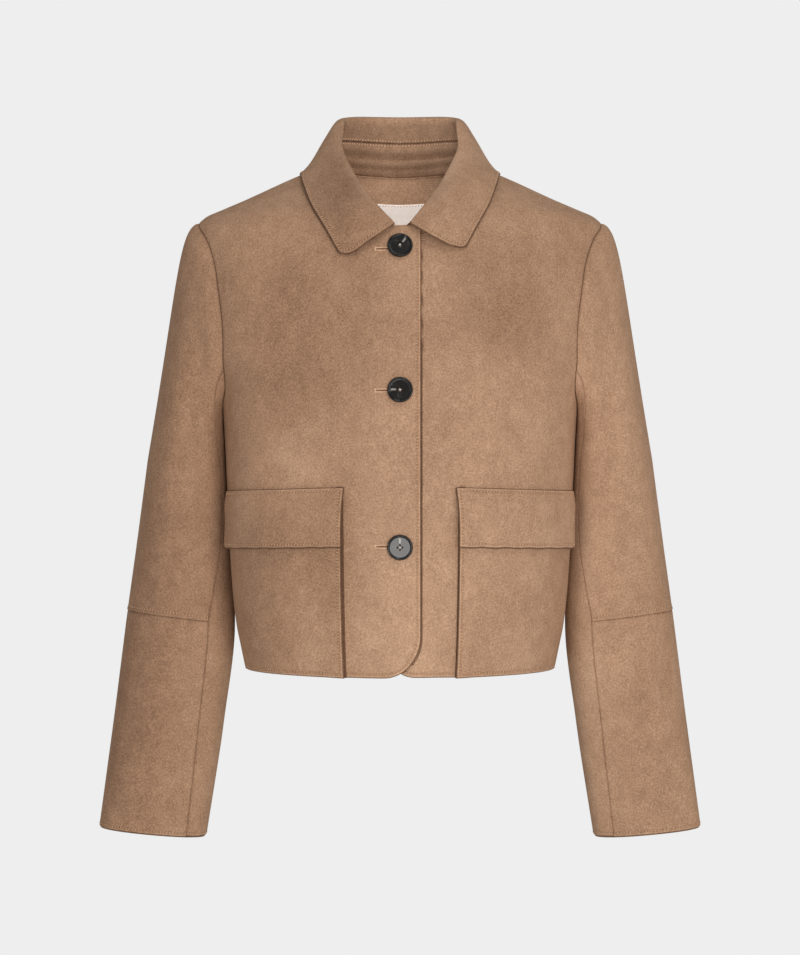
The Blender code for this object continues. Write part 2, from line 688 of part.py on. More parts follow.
def sleeve(side, word):
    elbow_gap = SLEEVE_SEAM_GAP / SLEEVE_LENGTH
    cap = list(np.linspace(0, 1, CAP_ROWS + 1))
    to_elbow = list(np.linspace(1, 1 + ELBOW - elbow_gap / 2, ELBOW_ROWS + 1))
    to_cuff = list(np.linspace(1 + ELBOW + elbow_gap / 2, 2, FOREARM_ROWS + 1))
    upper = cap + to_elbow[1:]
    under = upper[:-1] + [1 + ELBOW] + to_cuff[1:]
    sleeve_piece(f"sleeve_{word}_upper", side, UPPER_SLEEVE_COLUMNS, upper)
    sleeve_piece(f"sleeve_{word}_lower", side, UPPER_SLEEVE_COLUMNS, to_cuff)
    sleeve_piece(f"sleeve_{word}_under", side, UNDER_SLEEVE_COLUMNS, under, under=True)


# ---------------------------------------------------------------- collar

def both_leaves():
    """The collar's stations on both sides, the wearer's right at negative degrees."""
    right = [
        row._replace(round=-row.round, roll_x=-row.roll_x, fall_x=-row.fall_x, edge_x=-row.edge_x)
        for row in COLLAR[1:]
    ]
    return tuple(right) + COLLAR[:-len(LEFT_LEAF)] + LEFT_LEAF


ALL_COLLAR = both_leaves()


def neck_line(round_angle):
    """The neck seam, straight between the panels' own corners. round_angle is 0 at the centre back."""
    back_step = 180 / BACK_NECK_COLUMNS
    front_step = (COLLAR_END - 90) / (UPPER_ROWS - NECK_CORNER_ROW - 1)
    back = np.arange(0, 90 + back_step / 2, back_step)
    front = 90 + front_step * np.arange(1, UPPER_ROWS - NECK_CORNER_ROW)
    half = np.concatenate((back, front))
    stops = np.concatenate((-half[:0:-1], half))
    turns = np.radians(180 - stops)
    corners = body_point(turns, neck_height(turns))
    return np.stack([np.interp(round_angle, stops, corners[:, axis]) for axis in range(3)], axis=-1)


def collar_point(round_angle, up):
    """The collar's right side. up is 0 at the neck seam, 1 at the stand's seam, 2 at the roll line,
    3 on the crown of the fall and 4 at its outer edge."""
    neck = neck_line(round_angle)
    roll, crown, edge = (
        np.stack([follow(ALL_COLLAR, f"{line}_{axis}", round_angle) for axis in "xyz"], axis=-1)
        for line in ("roll", "fall", "edge")
    )
    towards_end = ease(np.abs(round_angle) / COLLAR_END * 2 - 1)
    seam = blend(neck, roll, blend(STAND_SHARE, STAND_SHARE_AT_END, towards_end)[..., None])
    seam_size = np.linalg.norm(roll - seam, axis=-1, keepdims=True)
    crown_size = np.linalg.norm(crown - roll, axis=-1, keepdims=True)
    over = unit(crown - seam)
    knots = (neck, seam, roll, crown, edge)
    tangent_in = (seam - neck, (roll - neck) / 2, over * seam_size, (edge - roll) / 2, edge - crown)
    tangent_out = (seam - neck, (roll - neck) / 2, over * crown_size, (edge - roll) / 2, edge - crown)
    span = np.clip(np.floor(up).astype(int), 0, 3)
    share = (up - span)[..., None]
    pick = np.arange(len(span))
    start, end = np.stack(knots)[span, pick], np.stack(knots)[span + 1, pick]
    leave, arrive = np.stack(tangent_out)[span, pick], np.stack(tangent_in)[span + 1, pick]
    rise = 3 * share**2 - 2 * share**3
    return (
        start * (1 - rise) + end * rise
        + leave * (share**3 - 2 * share**2 + share)
        + arrive * (share**3 - share**2)
    )


def rest_on_body(points, clearance, weight):
    """Push points out so that they lie at least a clearance off the body, where weight is 1."""
    turn = np.arctan2(points[:, 0], -points[:, 1])
    height = np.minimum(points[:, 2], COLLAR_FREE)
    radius = np.hypot(points[:, 0], points[:, 1])
    outward = body_normal(turn, height)
    radial = np.stack((np.sin(turn), -np.cos(turn), 0 * turn), axis=-1)
    lift = (radius - body_radius(turn, height)) * np.sum(outward * radial, axis=-1)
    short = clearance - lift
    push = (short + np.sqrt(short**2 + COLLAR_GIVE**2)) / 2
    return points + outward * (push * weight * (points[:, 2] < COLLAR_FREE))[:, None]


def collar_surface(round_angle, up):
    points = collar_point(round_angle, up)
    return rest_on_body(points, FALL_CLOTH + COLLAR_REST, ease(up - 2))


def collar_wall(round_angle, up, depth):
    """The collar's surface, or a point this deep behind it."""
    inside = np.clip(round_angle, 1 - COLLAR_END, COLLAR_END - 1)
    between = np.clip(up, 0.02, COLLAR_EDGE - 0.02)
    outward = normals_of(collar_surface, inside, between, 0.5, 0.02)
    return collar_surface(round_angle, up) - outward * depth[:, None]


def levels_per_metre(round_angle, level):
    """How far the levels run in a metre up the collar, from this one to the next."""
    here = np.full_like(round_angle, level)
    rise = collar_point(round_angle, here + 1) - collar_point(round_angle, here)
    return 1 / np.linalg.norm(rise, axis=-1)


def collar():
    columns = 2 * COLLAR_HALF_COLUMNS

    def stand(across, up, layer):
        round_angle = blend(-COLLAR_END, COLLAR_END, across)
        scale = levels_per_metre(round_angle, 0.0)
        level = blend(NECK_CLEARANCE * scale, 1 - COLLAR_SEAM_GAP / 2 * scale, up)
        return collar_wall(round_angle, level, STAND_CLOTH * layer)

    def fall(across, up, layer):
        mirrored = np.minimum(across, 1 - across)
        rounded, from_edge = round_corner(mirrored, 1 - up, *LEAF_CORNER)
        across = np.where(across > 0.5, 1 - rounded, rounded)
        round_angle = blend(-COLLAR_END, COLLAR_END, across)
        start = 1 + COLLAR_SEAM_GAP / 2 * levels_per_metre(round_angle, 1.0)
        return collar_wall(round_angle, blend(start, COLLAR_EDGE, 1 - from_edge), FALL_CLOTH * layer)

    cut_piece("collar_stand", columns, STAND_ROWS, stand)
    cut_piece("collar_fall", columns, FALL_ROWS, fall)


# ---------------------------------------------------------------- buttons

def button(name, height, holes_turn):
    """A four-hole button with a raised rim, seated on the outer front at the centre line."""
    top, dish, rim_inside = BUTTON_THICKNESS, BUTTON_THICKNESS - BUTTON_DISH, BUTTON_RADIUS - BUTTON_RIM
    profile = (
        (0, 0), (BUTTON_RADIUS - BUTTON_ROUND, 0), (BUTTON_RADIUS, BUTTON_ROUND),
        (BUTTON_RADIUS, top - BUTTON_ROUND), (BUTTON_RADIUS - BUTTON_ROUND, top),
        (rim_inside, top - BUTTON_ROUND / 3), (rim_inside - BUTTON_SLOPE, dish), (0, dish),
    )
    bm = bmesh.new()
    ring = [bm.verts.new((across, 0, up)) for across, up in profile]
    edges = [bm.edges.new(pair) for pair in zip(ring, ring[1:])]
    bmesh.ops.spin(
        bm, geom=ring + edges, cent=(0, 0, 0), axis=(0, 0, 1),
        angle=2 * math.pi, steps=18, use_merge=True,
    )
    bmesh.ops.remove_doubles(bm, verts=bm.verts[:], dist=1e-6)
    bmesh.ops.recalc_face_normals(bm, faces=bm.faces[:])

    centre = np.array(height)
    middle = body_point(np.array(0.0), centre)
    outward = body_normal(np.array(0.0), centre)
    rim_turns = np.linspace(0, 2 * math.pi, 17)
    rim = body_point(
        np.arctan2(BUTTON_RADIUS * np.cos(rim_turns), -middle[1]),
        centre + BUTTON_RADIUS * np.sin(rim_turns),
    )
    seat = max(0.0, float(np.max((rim - middle) @ outward))) + SEAM_GAP
    place = Matrix.Translation(Vector(middle + outward * seat))
    turned = Vector((0, 0, 1)).rotation_difference(Vector(outward)).to_matrix().to_4x4()

    mesh = bpy.data.meshes.new(name)
    bm.to_mesh(mesh)
    bm.free()
    piece = add_object(name, mesh, HORN)
    piece.matrix_world = place @ turned
    for corner in range(4):
        angle = holes_turn + corner * math.pi / 2
        across = BUTTON_HOLE_OFFSET * math.cos(angle)
        up = BUTTON_HOLE_OFFSET * math.sin(angle)
        bore(piece, corner, (across, up))


def bore(piece, number, centre):
    """Cut one thread hole through a button."""
    bm = bmesh.new()
    bmesh.ops.create_cone(
        bm, cap_ends=True, segments=6, radius1=BUTTON_HOLE, radius2=BUTTON_HOLE, depth=4 * BUTTON_THICKNESS,
        matrix=Matrix.Translation((centre[0], centre[1], 0)),
    )
    mesh = bpy.data.meshes.new(f"{piece.name}_drill_{number}")
    bm.to_mesh(mesh)
    bm.free()
    drill = bpy.data.objects.new(mesh.name, mesh)
    bpy.context.collection.objects.link(drill)
    drill.matrix_world = piece.matrix_world
    drill.hide_render = True
    drill.display_type = "WIRE"
    cut = piece.modifiers.new(f"hole {number}", "BOOLEAN")
    cut.operation = "DIFFERENCE"
    cut.object = drill


# ---------------------------------------------------------------- the jacket

def main():
    for leftover in list(bpy.data.objects):
        bpy.data.objects.remove(leftover, do_unlink=True)
    front_panel("front_right", -1, 0.0)
    front_panel("front_left", 1, UNDERLAP_DEPTH)
    back_panel()
    for side, word in ((-1, "right"), (1, "left")):
        sleeve(side, word)
        pocket(f"pocket_{word}", side)
        pocket_flap(f"pocket_flap_{word}", side)
    collar()
    for number, (height, holes_turn) in enumerate(zip(BUTTON_HEIGHTS, BUTTON_TURNS), start=1):
        button(f"button_{number}", height, holes_turn)
    neck_label()


main()
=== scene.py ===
"""The suede jacket dressed: napped panels with folds and sewn edges, stitching, buttons and a label.

Metres, +Z up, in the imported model's frame: the jacket faces -Y, the wearer's right is at -X, and the
origin lies midway between the neck ends of the shoulder seams. Directions round the body are turns:
0 at the centre front, a quarter turn at the wearer's left side and half a turn at the centre back.
"""

import math
from collections import namedtuple

import bmesh
import bpy
import numpy as np
from mathutils import Matrix, Vector


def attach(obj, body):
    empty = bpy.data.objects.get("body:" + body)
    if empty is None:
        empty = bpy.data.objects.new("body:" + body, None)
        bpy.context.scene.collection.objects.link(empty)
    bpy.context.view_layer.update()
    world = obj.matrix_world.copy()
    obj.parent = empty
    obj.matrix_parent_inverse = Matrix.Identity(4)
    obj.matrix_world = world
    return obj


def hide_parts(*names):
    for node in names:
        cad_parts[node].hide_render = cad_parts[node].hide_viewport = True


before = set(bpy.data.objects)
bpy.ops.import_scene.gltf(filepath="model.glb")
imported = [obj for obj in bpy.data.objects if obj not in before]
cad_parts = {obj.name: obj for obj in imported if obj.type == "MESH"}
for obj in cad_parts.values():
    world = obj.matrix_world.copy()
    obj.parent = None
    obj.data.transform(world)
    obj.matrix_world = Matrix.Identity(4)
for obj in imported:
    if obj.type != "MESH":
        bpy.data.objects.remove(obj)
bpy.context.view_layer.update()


def table(columns, *rows):
    """Rows of sizes whose columns have names."""
    row_of = namedtuple("Row", columns)
    return tuple(row_of(*row) for row in rows)


# Cloth and the gaps between pieces
CLOTH = 0.002                 # one layer of suede
FALL_CLOTH = 0.0018           # the collar's two parts are pressed thin
STAND_CLOTH = 0.0014
LABEL_CLOTH = 0.0006
SEAM_GAP = 0.0001             # between two pieces sewn edge to edge
SLEEVE_SEAM_GAP = 0.0002      # between the sleeve's pieces
ARMHOLE_GAP = 0.0001          # between the sleeve and the body
LAY_GAP = 0.0004              # between a piece and the panel it lies on

# Body
FRONT_EXTENSION = 0.0205      # each front edge passes the centre line by this much
HEM_CORNER = 0.038            # radius of the fronts' lower corners
UNDERLAP_DEPTH = CLOTH + 2 * LAY_GAP
UNDERLAP_MARGIN = 0.010       # how far past the outer front's edge the under front stays sunk
UNDERLAP_FADE = 0.030         # width over which it then comes level with the outer one

# Neck opening in plan
NECK_HALF_WIDTH = 0.078
NECK_FRONT = 0.0885
NECK_BACK = 0.0868
NECK_CORNER = -0.067          # about the height at which a front edge meets the neck
NECK_SEARCH_TOP = 0.006       # the neck's edge lies below this height

# Armhole, an egg in the side view
ARMHOLE_TOP = -0.057
ARMHOLE_BOTTOM = -0.247
ARMHOLE_FRONT = 0.068
ARMHOLE_BACK = 0.062
ARMHOLE_EGG = 0.2             # how much fuller its lower half is

# Pockets, as turns from the centre front
POCKET_INNER = math.radians(25.5)
POCKET_OUTER = math.radians(78.0)
FLAP_OVERHANG = math.radians(1.3)
POCKET_BULGE = 0.0016
FLAP_LIFT = 0.0021            # the flap's stand-off from the pocket's face
FLAP_FLARE = 0.0010           # and how much more its lower edge stands off
FLAP_CAUGHT = 0.6             # share across the flap from which its outer end is caught down
FLAP_CAUGHT_LIFT = 0.1        # share of the stand-off that is left there at the pocket's mouth
FLAP_CORNER_LIFT = 0.8        # and at the flap's lower corner, which flares out again

# Collar
COLLAR_END = 176.0            # degrees round from the centre back to where each leaf starts
STAND_SHARE = 0.57            # where the stand meets the fall, on the way up to the roll line
STAND_SHARE_AT_END = 0.45
COLLAR_REST = 0.0011          # between the fall's wrong side and the body
LEAF_CORNER = (0.030, 0.18)   # the leaf's rounded corner, as shares of the collar's length and width
NECK_CLEARANCE = 0.0003       # between the stand and the neck seam of the body
COLLAR_SEAM_GAP = 0.0002      # between the stand and the fall
COLLAR_GIVE = 0.0006          # how softly the fall comes to rest on the body
COLLAR_FREE = 0.004           # the height above which it no longer rests there

# Buttons
BUTTON_RADIUS = 0.0123
BUTTON_THICKNESS = 0.0036
BUTTON_HOLE = 0.0011
BUTTON_HOLE_OFFSET = 0.0021
BUTTON_HEIGHTS = (-0.0880, -0.2272, -0.3778)
BUTTON_TURNS = (math.radians(35), math.radians(10), 0.0)   # how far round each one is sewn on

# Label inside the back neck
LABEL_GAP = 0.0008
LABEL_COLUMNS = 1.45          # half its width, in columns of the back's grid
LABEL_TOP_ROW = 10.6          # its upper and lower edges, in rows of the back above the underarm
LABEL_BOTTOM_ROW = 9.2

# Horizontal sections of the body from above the neck to below the hem. A section is a rounded
# rectangle: square is 2 for an ellipse and grows as its corners fill out.
BODY = table(
    "height half_width front_depth back_depth front_square back_square",
    (-0.510, 0.1495, 0.1130, 0.1060, 2.60, 2.60),
    (-0.497, 0.1530, 0.1145, 0.1072, 2.60, 2.60),
    (-0.478, 0.1570, 0.1160, 0.1082, 2.60, 2.60),
    (-0.455, 0.1616, 0.1172, 0.1090, 2.60, 2.60),
    (-0.425, 0.1650, 0.1184, 0.1096, 2.60, 2.60),
    (-0.381, 0.1682, 0.1196, 0.1104, 2.60, 2.60),
    (-0.320, 0.1722, 0.1206, 0.1124, 2.60, 2.60),
    (-0.273, 0.1745, 0.1207, 0.1142, 2.60, 2.58),
    (-0.247, 0.1765, 0.1204, 0.1154, 2.60, 2.56),
    (-0.230, 0.1785, 0.1200, 0.1160, 2.58, 2.52),
    (-0.192, 0.1935, 0.1175, 0.1162, 2.50, 2.42),
    (-0.145, 0.2038, 0.1118, 0.1145, 2.35, 2.28),
    (-0.118, 0.2070, 0.1065, 0.1122, 2.20, 2.16),
    (-0.086, 0.2074, 0.0970, 0.1085, 2.00, 2.04),
    (-0.067, 0.2072, 0.0888, 0.1055, 1.88, 1.97),
    (-0.052, 0.1952, 0.0799, 0.1022, 1.82, 1.93),
    (-0.043, 0.1758, 0.0724, 0.1000, 1.80, 1.91),
    (-0.035, 0.1572, 0.0644, 0.0975, 1.78, 1.90),
    (-0.011, 0.1048, 0.0345, 0.0898, 1.75, 1.95),
    (0.000, 0.0780, 0.0200, 0.0854, 1.75, 2.00),
    (0.008, 0.0600, 0.0100, 0.0810, 1.75, 2.00),
)

# Rows of the lower body panels, from the hem up to the underarm, with their heights at the centre
# line and at the side seam. rows counts the grid rows up from the level before.
LEVELS = table(
    "name centre side rows",
    ("hem", -0.5040, -0.4998, 0),
    ("hem corner", -0.4630, -0.4610, 3),
    ("flap bottom", -0.3775, -0.3805, 4),
    ("pocket mouth", -0.3335, -0.3380, 2),
    ("flap top", -0.3190, -0.3235, 1),
    ("underarm", -0.2450, -0.2470, 3),
)
UPPER_ROWS = 13               # rows from the underarm to the shoulder
NECK_CORNER_ROW = 7           # the upper row that ends at the fronts' neck corner
FRONT_SPANS = (5, 8, 1)       # columns to the pocket's inner edge, across it, and on to the side seam
BACK_SHOULDER_COLUMNS = 6
BACK_NECK_COLUMNS = 10

# The sleeve below the armhole: its outer and inner points seen from the front, its half depth and
# its middle from front to back. along is the share of the way down from the upper arm to the cuff.
SLEEVE = table(
    "along outer outer_height inner inner_height half_depth middle square",
    (0.00, 0.2523, -0.2930, 0.1742, -0.3000, 0.0640, 0.0090, 2.30),
    (0.22, 0.2622, -0.3660, 0.1702, -0.3750, 0.0560, 0.0100, 2.25),
    (0.45, 0.2726, -0.4430, 0.1654, -0.4560, 0.0460, 0.0060, 2.20),
    (0.72, 0.2846, -0.5430, 0.1760, -0.5550, 0.0390, -0.0020, 2.20),
    (1.00, 0.2992, -0.6578, 0.1928, -0.6676, 0.0340, -0.0120, 2.20),
)

# Where the sleeve's two seams run, in degrees from its outer line. down is 0 at the armhole, 1 at the
# upper arm and 2 at the cuff.
SLEEVE_SEAMS = table(
    "down front back",
    (0.00, 9 * 180 / UPPER_ROWS, 17 * 180 / UPPER_ROWS),
    (0.50, 138.0, 240.0),
    (1.10, 152.0, 244.0),
    (1.22, 146.0, 244.0),
    (1.36, 129.5, 240.0),
    (1.45, 122.0, 237.0),
    (1.72, 124.0, 235.0),
    (2.00, 129.5, 235.0),
)
ELBOW = 0.45                  # the elbow seam's place along the sleeve
SLEEVE_LENGTH = 0.366         # from the upper arm to the cuff
UPPER_ARM = 0.05              # the sleeve's mean radius

# How the sleeve's cap leaves the armhole and turns down into the arm
CAP_LEAVE = 0.003             # outwards at the underarm
CAP_LEAVE_TOP = 0.0145        # and this much more at the shoulder
CAP_LEAVE_SIDES = 0.011       # and at the front and back
CAP_DROOP = 0.20              # downwards, as a share of that
CAP_UNDER = 0.8               # within this cosine of the underarm it hugs the body instead
CAP_UNDER_DROP = 0.010        # leaving straight down
CAP_HANG = 0.02               # how far the arm's line runs up into the cap
CAP_HANG_TOP = 0.176
ARM_SLANT = math.radians(9.7)

# The collar, from the centre back round to the leaf's end: its roll line, the crown of its fall and
# its outer edge.
STATION = "round roll_x roll_y roll_z fall_x fall_y fall_z edge_x edge_y edge_z"
COLLAR = table(
    STATION,
    (0, 0.0000, 0.0660, 0.0578, 0.0000, 0.0870, 0.0360, 0.0000, 0.0950, -0.0190),
    (35, 0.0372, 0.0590, 0.0573, 0.0500, 0.0760, 0.0385, 0.0535, 0.0840, -0.0182),
    (65, 0.0580, 0.0370, 0.0520, 0.0755, 0.0430, 0.0340, 0.0958, 0.0445, -0.0130),
    (90, 0.0590, 0.0060, 0.0255, 0.0795, -0.0010, 0.0125, 0.1000, -0.0085, -0.0090),
    (120, 0.0468, -0.0350, -0.0080, 0.0675, -0.0520, -0.0165, 0.0893, -0.0625, -0.0405),
    (150, 0.0262, -0.0735, -0.0408, 0.0460, -0.0905, -0.0525, 0.0700, -0.0905, -0.0755),
    (176, 0.0050, -0.0975, -0.0658, 0.0290, -0.1050, -0.0830, 0.0556, -0.1024, -0.1024),
)
LEFT_LEAF = table(            # the leaf on the wearer's left lies a little higher and wider
    STATION,
    (150, 0.0275, -0.0735, -0.0404, 0.0470, -0.0895, -0.0500, 0.0722, -0.0890, -0.0735),
    (176, 0.0095, -0.0970, -0.0652, 0.0290, -0.1042, -0.0775, 0.0616, -0.1000, -0.0945),
)
COLLAR_EDGE = 4               # the outer edge's level; see collar_point for how levels run up the collar

# ---- sizes of the looks

# Grid lines near a piece's edges, as distances from the edge, and between them
EDGE_LINES = (
    0, 0.0003, 0.0007, 0.0012, 0.0019, 0.0026, 0.0032, 0.0037, 0.0042, 0.0047, 0.0053, 0.0061, 0.0072, 0.0088,
)
EDGE_SHARE = 0.4              # those lines take up no more than this share of a piece at each edge
BODY_STEP = 0.0034
SMALL_STEP = 0.0026
NORMAL_STEP = 0.0005          # a piece's normals are taken over this length either way
BODY_NORMAL_STEPS = (0.004, 0.0008)   # and the body's over this turn and height
SLEEVE_NORMAL_STEP = 0.01
FOLLOW_PAST = (-0.5, 1.5)     # how far a table is followed past its ends, in shares of its last step

# Edges
EDGE_ROUND = 0.0007           # a raw edge is buffed round over this width
EDGE_SINK = 0.75              # and loses these shares of it from its right side and its wrong side
EDGE_RISE = 0.7
CUT_SLOPE = 0.0012            # its cut face slopes, so the right side ends this far inside the wrong side
CUT_REACH = 0.0042            # and the grid makes room for that over this width
LAP_RISE = 0.0006             # a lapped seam is this much higher along its edge
LAP_WIDTH = 0.0048
SEAM_DEPTH = 0.0005           # how far the cloth rolls down into a seam
SEAM_ROLL = 0.0008
SEAM_TURN = 0.0018            # how far the wrong side runs on past a sewn edge
GUSSET_WIDTH = 0.0060         # the narrow strip that joins a pocket's inner edge to the front, dark as painted shade
GUSSET_SHOWS = {"right": 0.0019, "left": 0.0003}   # how much of it shows past that edge
GUSSET_LIFT = 0.0022          # how far it lets the pocket's inner edge stand off
GUSSET_FADE = 0.030
GUSSET_CLOTH = 0.0007
GUSSET_SLOPE = 1.4            # its own lift ends this soon across it
GUSSET_SHARE = 0.8            # and is this share of the pocket's
GUSSET_SIZE = (GUSSET_WIDTH, 0.18)
GROOVE_DEPTH = 0.0008         # the outer front's edge presses this far into the under front
GROOVE_PLACE = 0.0002
GROOVE_WIDTH = 0.0007
GROOVE_SPAN = (0.155, 0.245)  # the shares across the under front between which its grid is fine
DENSE_STEP = 0.0006

# Changes of tone, on the suede's scale from 0 to 1; most of them are painted shade or painted highlight
# a raw edge's pale scuffed rim, partly a painted highlight where the edge catches the light
SCUFF_HIGHLIGHT_TONE = 0.12
SCUFF_PLACE = 0.0009
SCUFF_WIDTH = 0.0006
CUT_SHADE_TONE = 0.40               # the cut face itself, painted dark as the shade under a raw edge
# painted shade: how much darker each seam is drawn, and the collar's seam more so
SEAM_SHADE_TONE = 0.19
COLLAR_SEAM_SHADE_TONE = 0.40
SEAM_SHADE = 0.0008
STITCH_SHADE_TONE = 0.09            # painted shade along a row of stitches
# painted shadow on the under front where the outer front's edge rests on it
GROOVE_SHADOW_TONE = 0.42

# Stitches
STITCH_INSET = 0.0041
STITCH_PITCH = 0.0031
STITCH_LENGTH = 0.0023
STITCH_SLANT = math.radians(50)
STITCH_DIP = 0.00035          # the cloth dips under a row of stitches
STITCH_DIP_WIDTH = 0.0009
SEAM_STITCH = 0.0021          # the rows beside the collar's seam
LABEL_STITCH_INSET = 0.0016
THREAD = 0.0008
NECK_THREAD = 0.00095
BAR_THREAD = 0.00062
STITCH_FLATNESS = 0.8         # a stitch's height, as a share of its thread
STITCH_SEAT = 0.00002         # the height of a stitch's middle over the cloth
STITCH_STOP = 0.25            # the front edge's stitches stop this many rows below the neck's corner
WALK_STEPS = 8                # steps between two corners of a stitch path
INSET_POINTS = 41             # points along one edge's line of stitches
INSET_PROBE = 0.004           # the share of a piece over which its size is felt for that line

# Small waves
# The stand sags in soft creases round the neck: height is the share up the stand, rise is inwards, and tone
# is painted shade in a trough and painted light on a crest
STAND_CREASES = table(
    "height width rise tone wander waves",
    (0.58, 0.055, -0.0026, -0.14, 0.012, 8), (0.42, 0.055, 0.0014, 0.06, 0.020, 11),
    (0.78, 0.10, 0.0010, 0.02, 0.015, 6), (0.24, 0.060, -0.0009, -0.07, 0.020, 14),
)
CREASES_END = 125.0           # degrees round from the centre back at which they have run out
CREASES_FADE = 60.0
FACING_FADE = 1.6             # how soon a fold or a patch fades in where the cloth comes to face the view
LINE_REACH = 1.15             # and how far from its line's middle it has faded out, in half lengths
FLAP_RIPPLE = 0.0005
FLAP_RIPPLES = 4.5
FLAP_RIPPLE_FADE = 2.2        # how soon the ripples fade on the way up, and so on for those below
FLAP_WAVE = 0.013             # the waves of its lower edge, in rows of the front's grid
FLAP_WAVES = 6.4
FLAP_WAVE_FADE = 4
FLAP_TUCK = 0.7               # share of the flap's overhang that is lost towards its lower corner
FLAP_TUCK_FADE = 1.3

# A sleeve leans on the body between these heights, so that most of their clearance closes there
PRESS_TOP = (-0.13, -0.18)
PRESS_FOOT = (-0.455, -0.40)
PRESS_REACH = 0.0045
PRESS_SHARE = 0.60

# Buttons and buttonholes
BUTTON_SEAT = 0.0006
BUTTON_PROFILE = (
    (0, 0), (0.0109, 0), (0.0118, 0.00035), (0.01223, 0.0010), (0.0123, 0.0018), (0.01222, 0.0025),
    (0.0120, 0.0030), (0.0116, 0.0034), (0.0112, 0.00355), (0.0108, 0.0034), (0.0104, 0.0030),
    (0.0101, 0.00275), (0.0096, 0.0027), (0.0094, 0.0027), (0.0050, 0.0027), (0, 0.0027),
)
BUTTON_SHARP = math.radians(50)   # its corners look sharp when they turn by more than this
BUTTON_THREAD = 0.0005
STRAND_LENGTH = BUTTON_HOLE_OFFSET * 1.5
STRAND_APART = 0.4            # half the space between two strands, in threads
BUTTON_SHANK = 0.0016
SHANK_DEPTH = BUTTON_SEAT * 2
BUTTON_STAY = 0.0046          # the radius of the small round of dark suede behind a button, painted shade in its holes
STAY_DEPTH = BUTTON_SEAT * 0.8
STAY_MIDDLE = BUTTON_SEAT * 0.45
GLINT_TURNS = (math.radians(52), math.radians(178), math.radians(90))   # a pale streak in each button's face, a painted reflection
GLINT_SIDES = (0.0014, 0.0003)
GLINT_START = (0.0028, 0.0045)
GLINT_END = (0.0098, 0.0070)
GLINT_CLOUD = 0.0016
SMOKE = 0.005
BUTTONHOLE_END = 0.0232       # from the centre line to the end that shows
BUTTONHOLE_START = 0.0080
BUTTONHOLE_WIDTH = 0.0042
BUTTONHOLE_RISES = (-0.0026, -0.0006, 0.0006)   # each one over the middle of its button
BUTTONHOLE_SLIT = 0.0012
BUTTONHOLE_PITCH = 0.00055

# Patterns of the finishes
NAP_PATCH = 0.048
NAP_STROKE = 0.010
NAP_TUFT = 0.0016             # drawn about twice as coarse as the real tufts, so that they show
NAP_DEPTH = 0.0006
STROKE_SHARE = 0.48
TUFT_SHARE = 0.62
LABEL_RIB = 0.0012            # drawn about three times as coarse as the real weave
SLUB = 0.004
WAVE_TURN = math.pi / 10      # a wave pattern of scale 1 repeats after this many metres

# The view
VIEW_DISTANCE = 2.7
VIEW_HEIGHT = -0.311
VIEW_SPAN = 0.955
SENSOR = 36.0
FLOOR = -1.42
FLOOR_RADIUS = 3.3
BACKDROP = "eeeeee"
SKY_SEEN = 1.0                # the backdrop's brightness to the eye, and as a light on the jacket
SKY_LIGHT = 0.40
LIGHT_COLOUR = "fffbf7"
NECK_LIGHT = ("neck light", (0.25, -2.30, 0.80), 0.6, 0.6, 40.0)   # on the neck's inside alone
LIT_IN_NECK = ("back_suede", "neck_label_satin", "neck_label_stitches")
LIGHTS = (                    # name, place, width, height and power
    ("front key", (0.42, -2.95, -0.45), 1.6, 0.8, 34.0),
    ("right key", (1.50, -2.45, -0.10), 0.8, 1.2, 12.0),
    ("left fill", (-1.30, -2.60, -0.20), 0.8, 1.2, 10.0),
    ("overhead", (0.45, -1.50, 1.70), 0.9, 0.9, 13.0),
    ("behind", (0.50, 3.30, 1.00), 1.6, 1.2, 34.0),
)

# Soft folds, each a line seen from the front or the back, with the height of its crest or the depth
# of its trough. part says which pieces it runs over.
FOLDS = table(
    "part top_x top_z low_x low_z width rise",
    ("front", -0.100, -0.080, -0.108, -0.290, 0.022, -0.0022),
    ("front", -0.060, -0.130, -0.066, -0.330, 0.026, 0.0012),
    ("front", 0.086, -0.130, 0.098, -0.310, 0.024, -0.0016),
    ("front", -0.150, -0.215, -0.110, -0.262, 0.009, -0.0012),
    ("front", 0.150, -0.215, 0.112, -0.260, 0.009, -0.0012),
    ("sleeve", -0.2010, -0.100, -0.1930, -0.380, 0.0085, -0.0026),
    ("sleeve", -0.2190, -0.130, -0.2220, -0.400, 0.0110, 0.0014),
    ("sleeve", 0.2030, -0.110, 0.1960, -0.360, 0.0085, -0.0018),
    ("sleeve", 0.2200, -0.140, 0.2230, -0.380, 0.0110, 0.0011),
    ("sleeve", -0.2080, -0.470, -0.2620, -0.620, 0.0140, -0.0012),
    ("sleeve", 0.2180, -0.480, 0.2560, -0.640, 0.0140, -0.0011),
    ("sleeve", -0.1850, -0.385, -0.2330, -0.440, 0.0075, -0.0014),
    ("sleeve", 0.1850, -0.380, 0.2330, -0.432, 0.0075, -0.0013),
    ("back", 0.000, -0.140, 0.010, -0.400, 0.034, -0.0020),
    ("back", -0.110, -0.120, -0.090, -0.330, 0.022, 0.0016),
    ("back", 0.105, -0.110, 0.095, -0.350, 0.024, 0.0016),
    ("back", -0.155, -0.200, -0.100, -0.275, 0.010, -0.0014),
    ("back", 0.155, -0.205, 0.104, -0.270, 0.010, -0.0014),
    ("sleeve back", -0.190, -0.250, -0.235, -0.360, 0.0090, -0.0016),
    ("sleeve back", 0.190, -0.250, 0.236, -0.350, 0.0090, -0.0016),
    ("sleeve back", -0.215, -0.400, -0.250, -0.470, 0.0090, -0.0014),
    ("sleeve back", 0.215, -0.405, 0.252, -0.470, 0.0090, -0.0014),
)
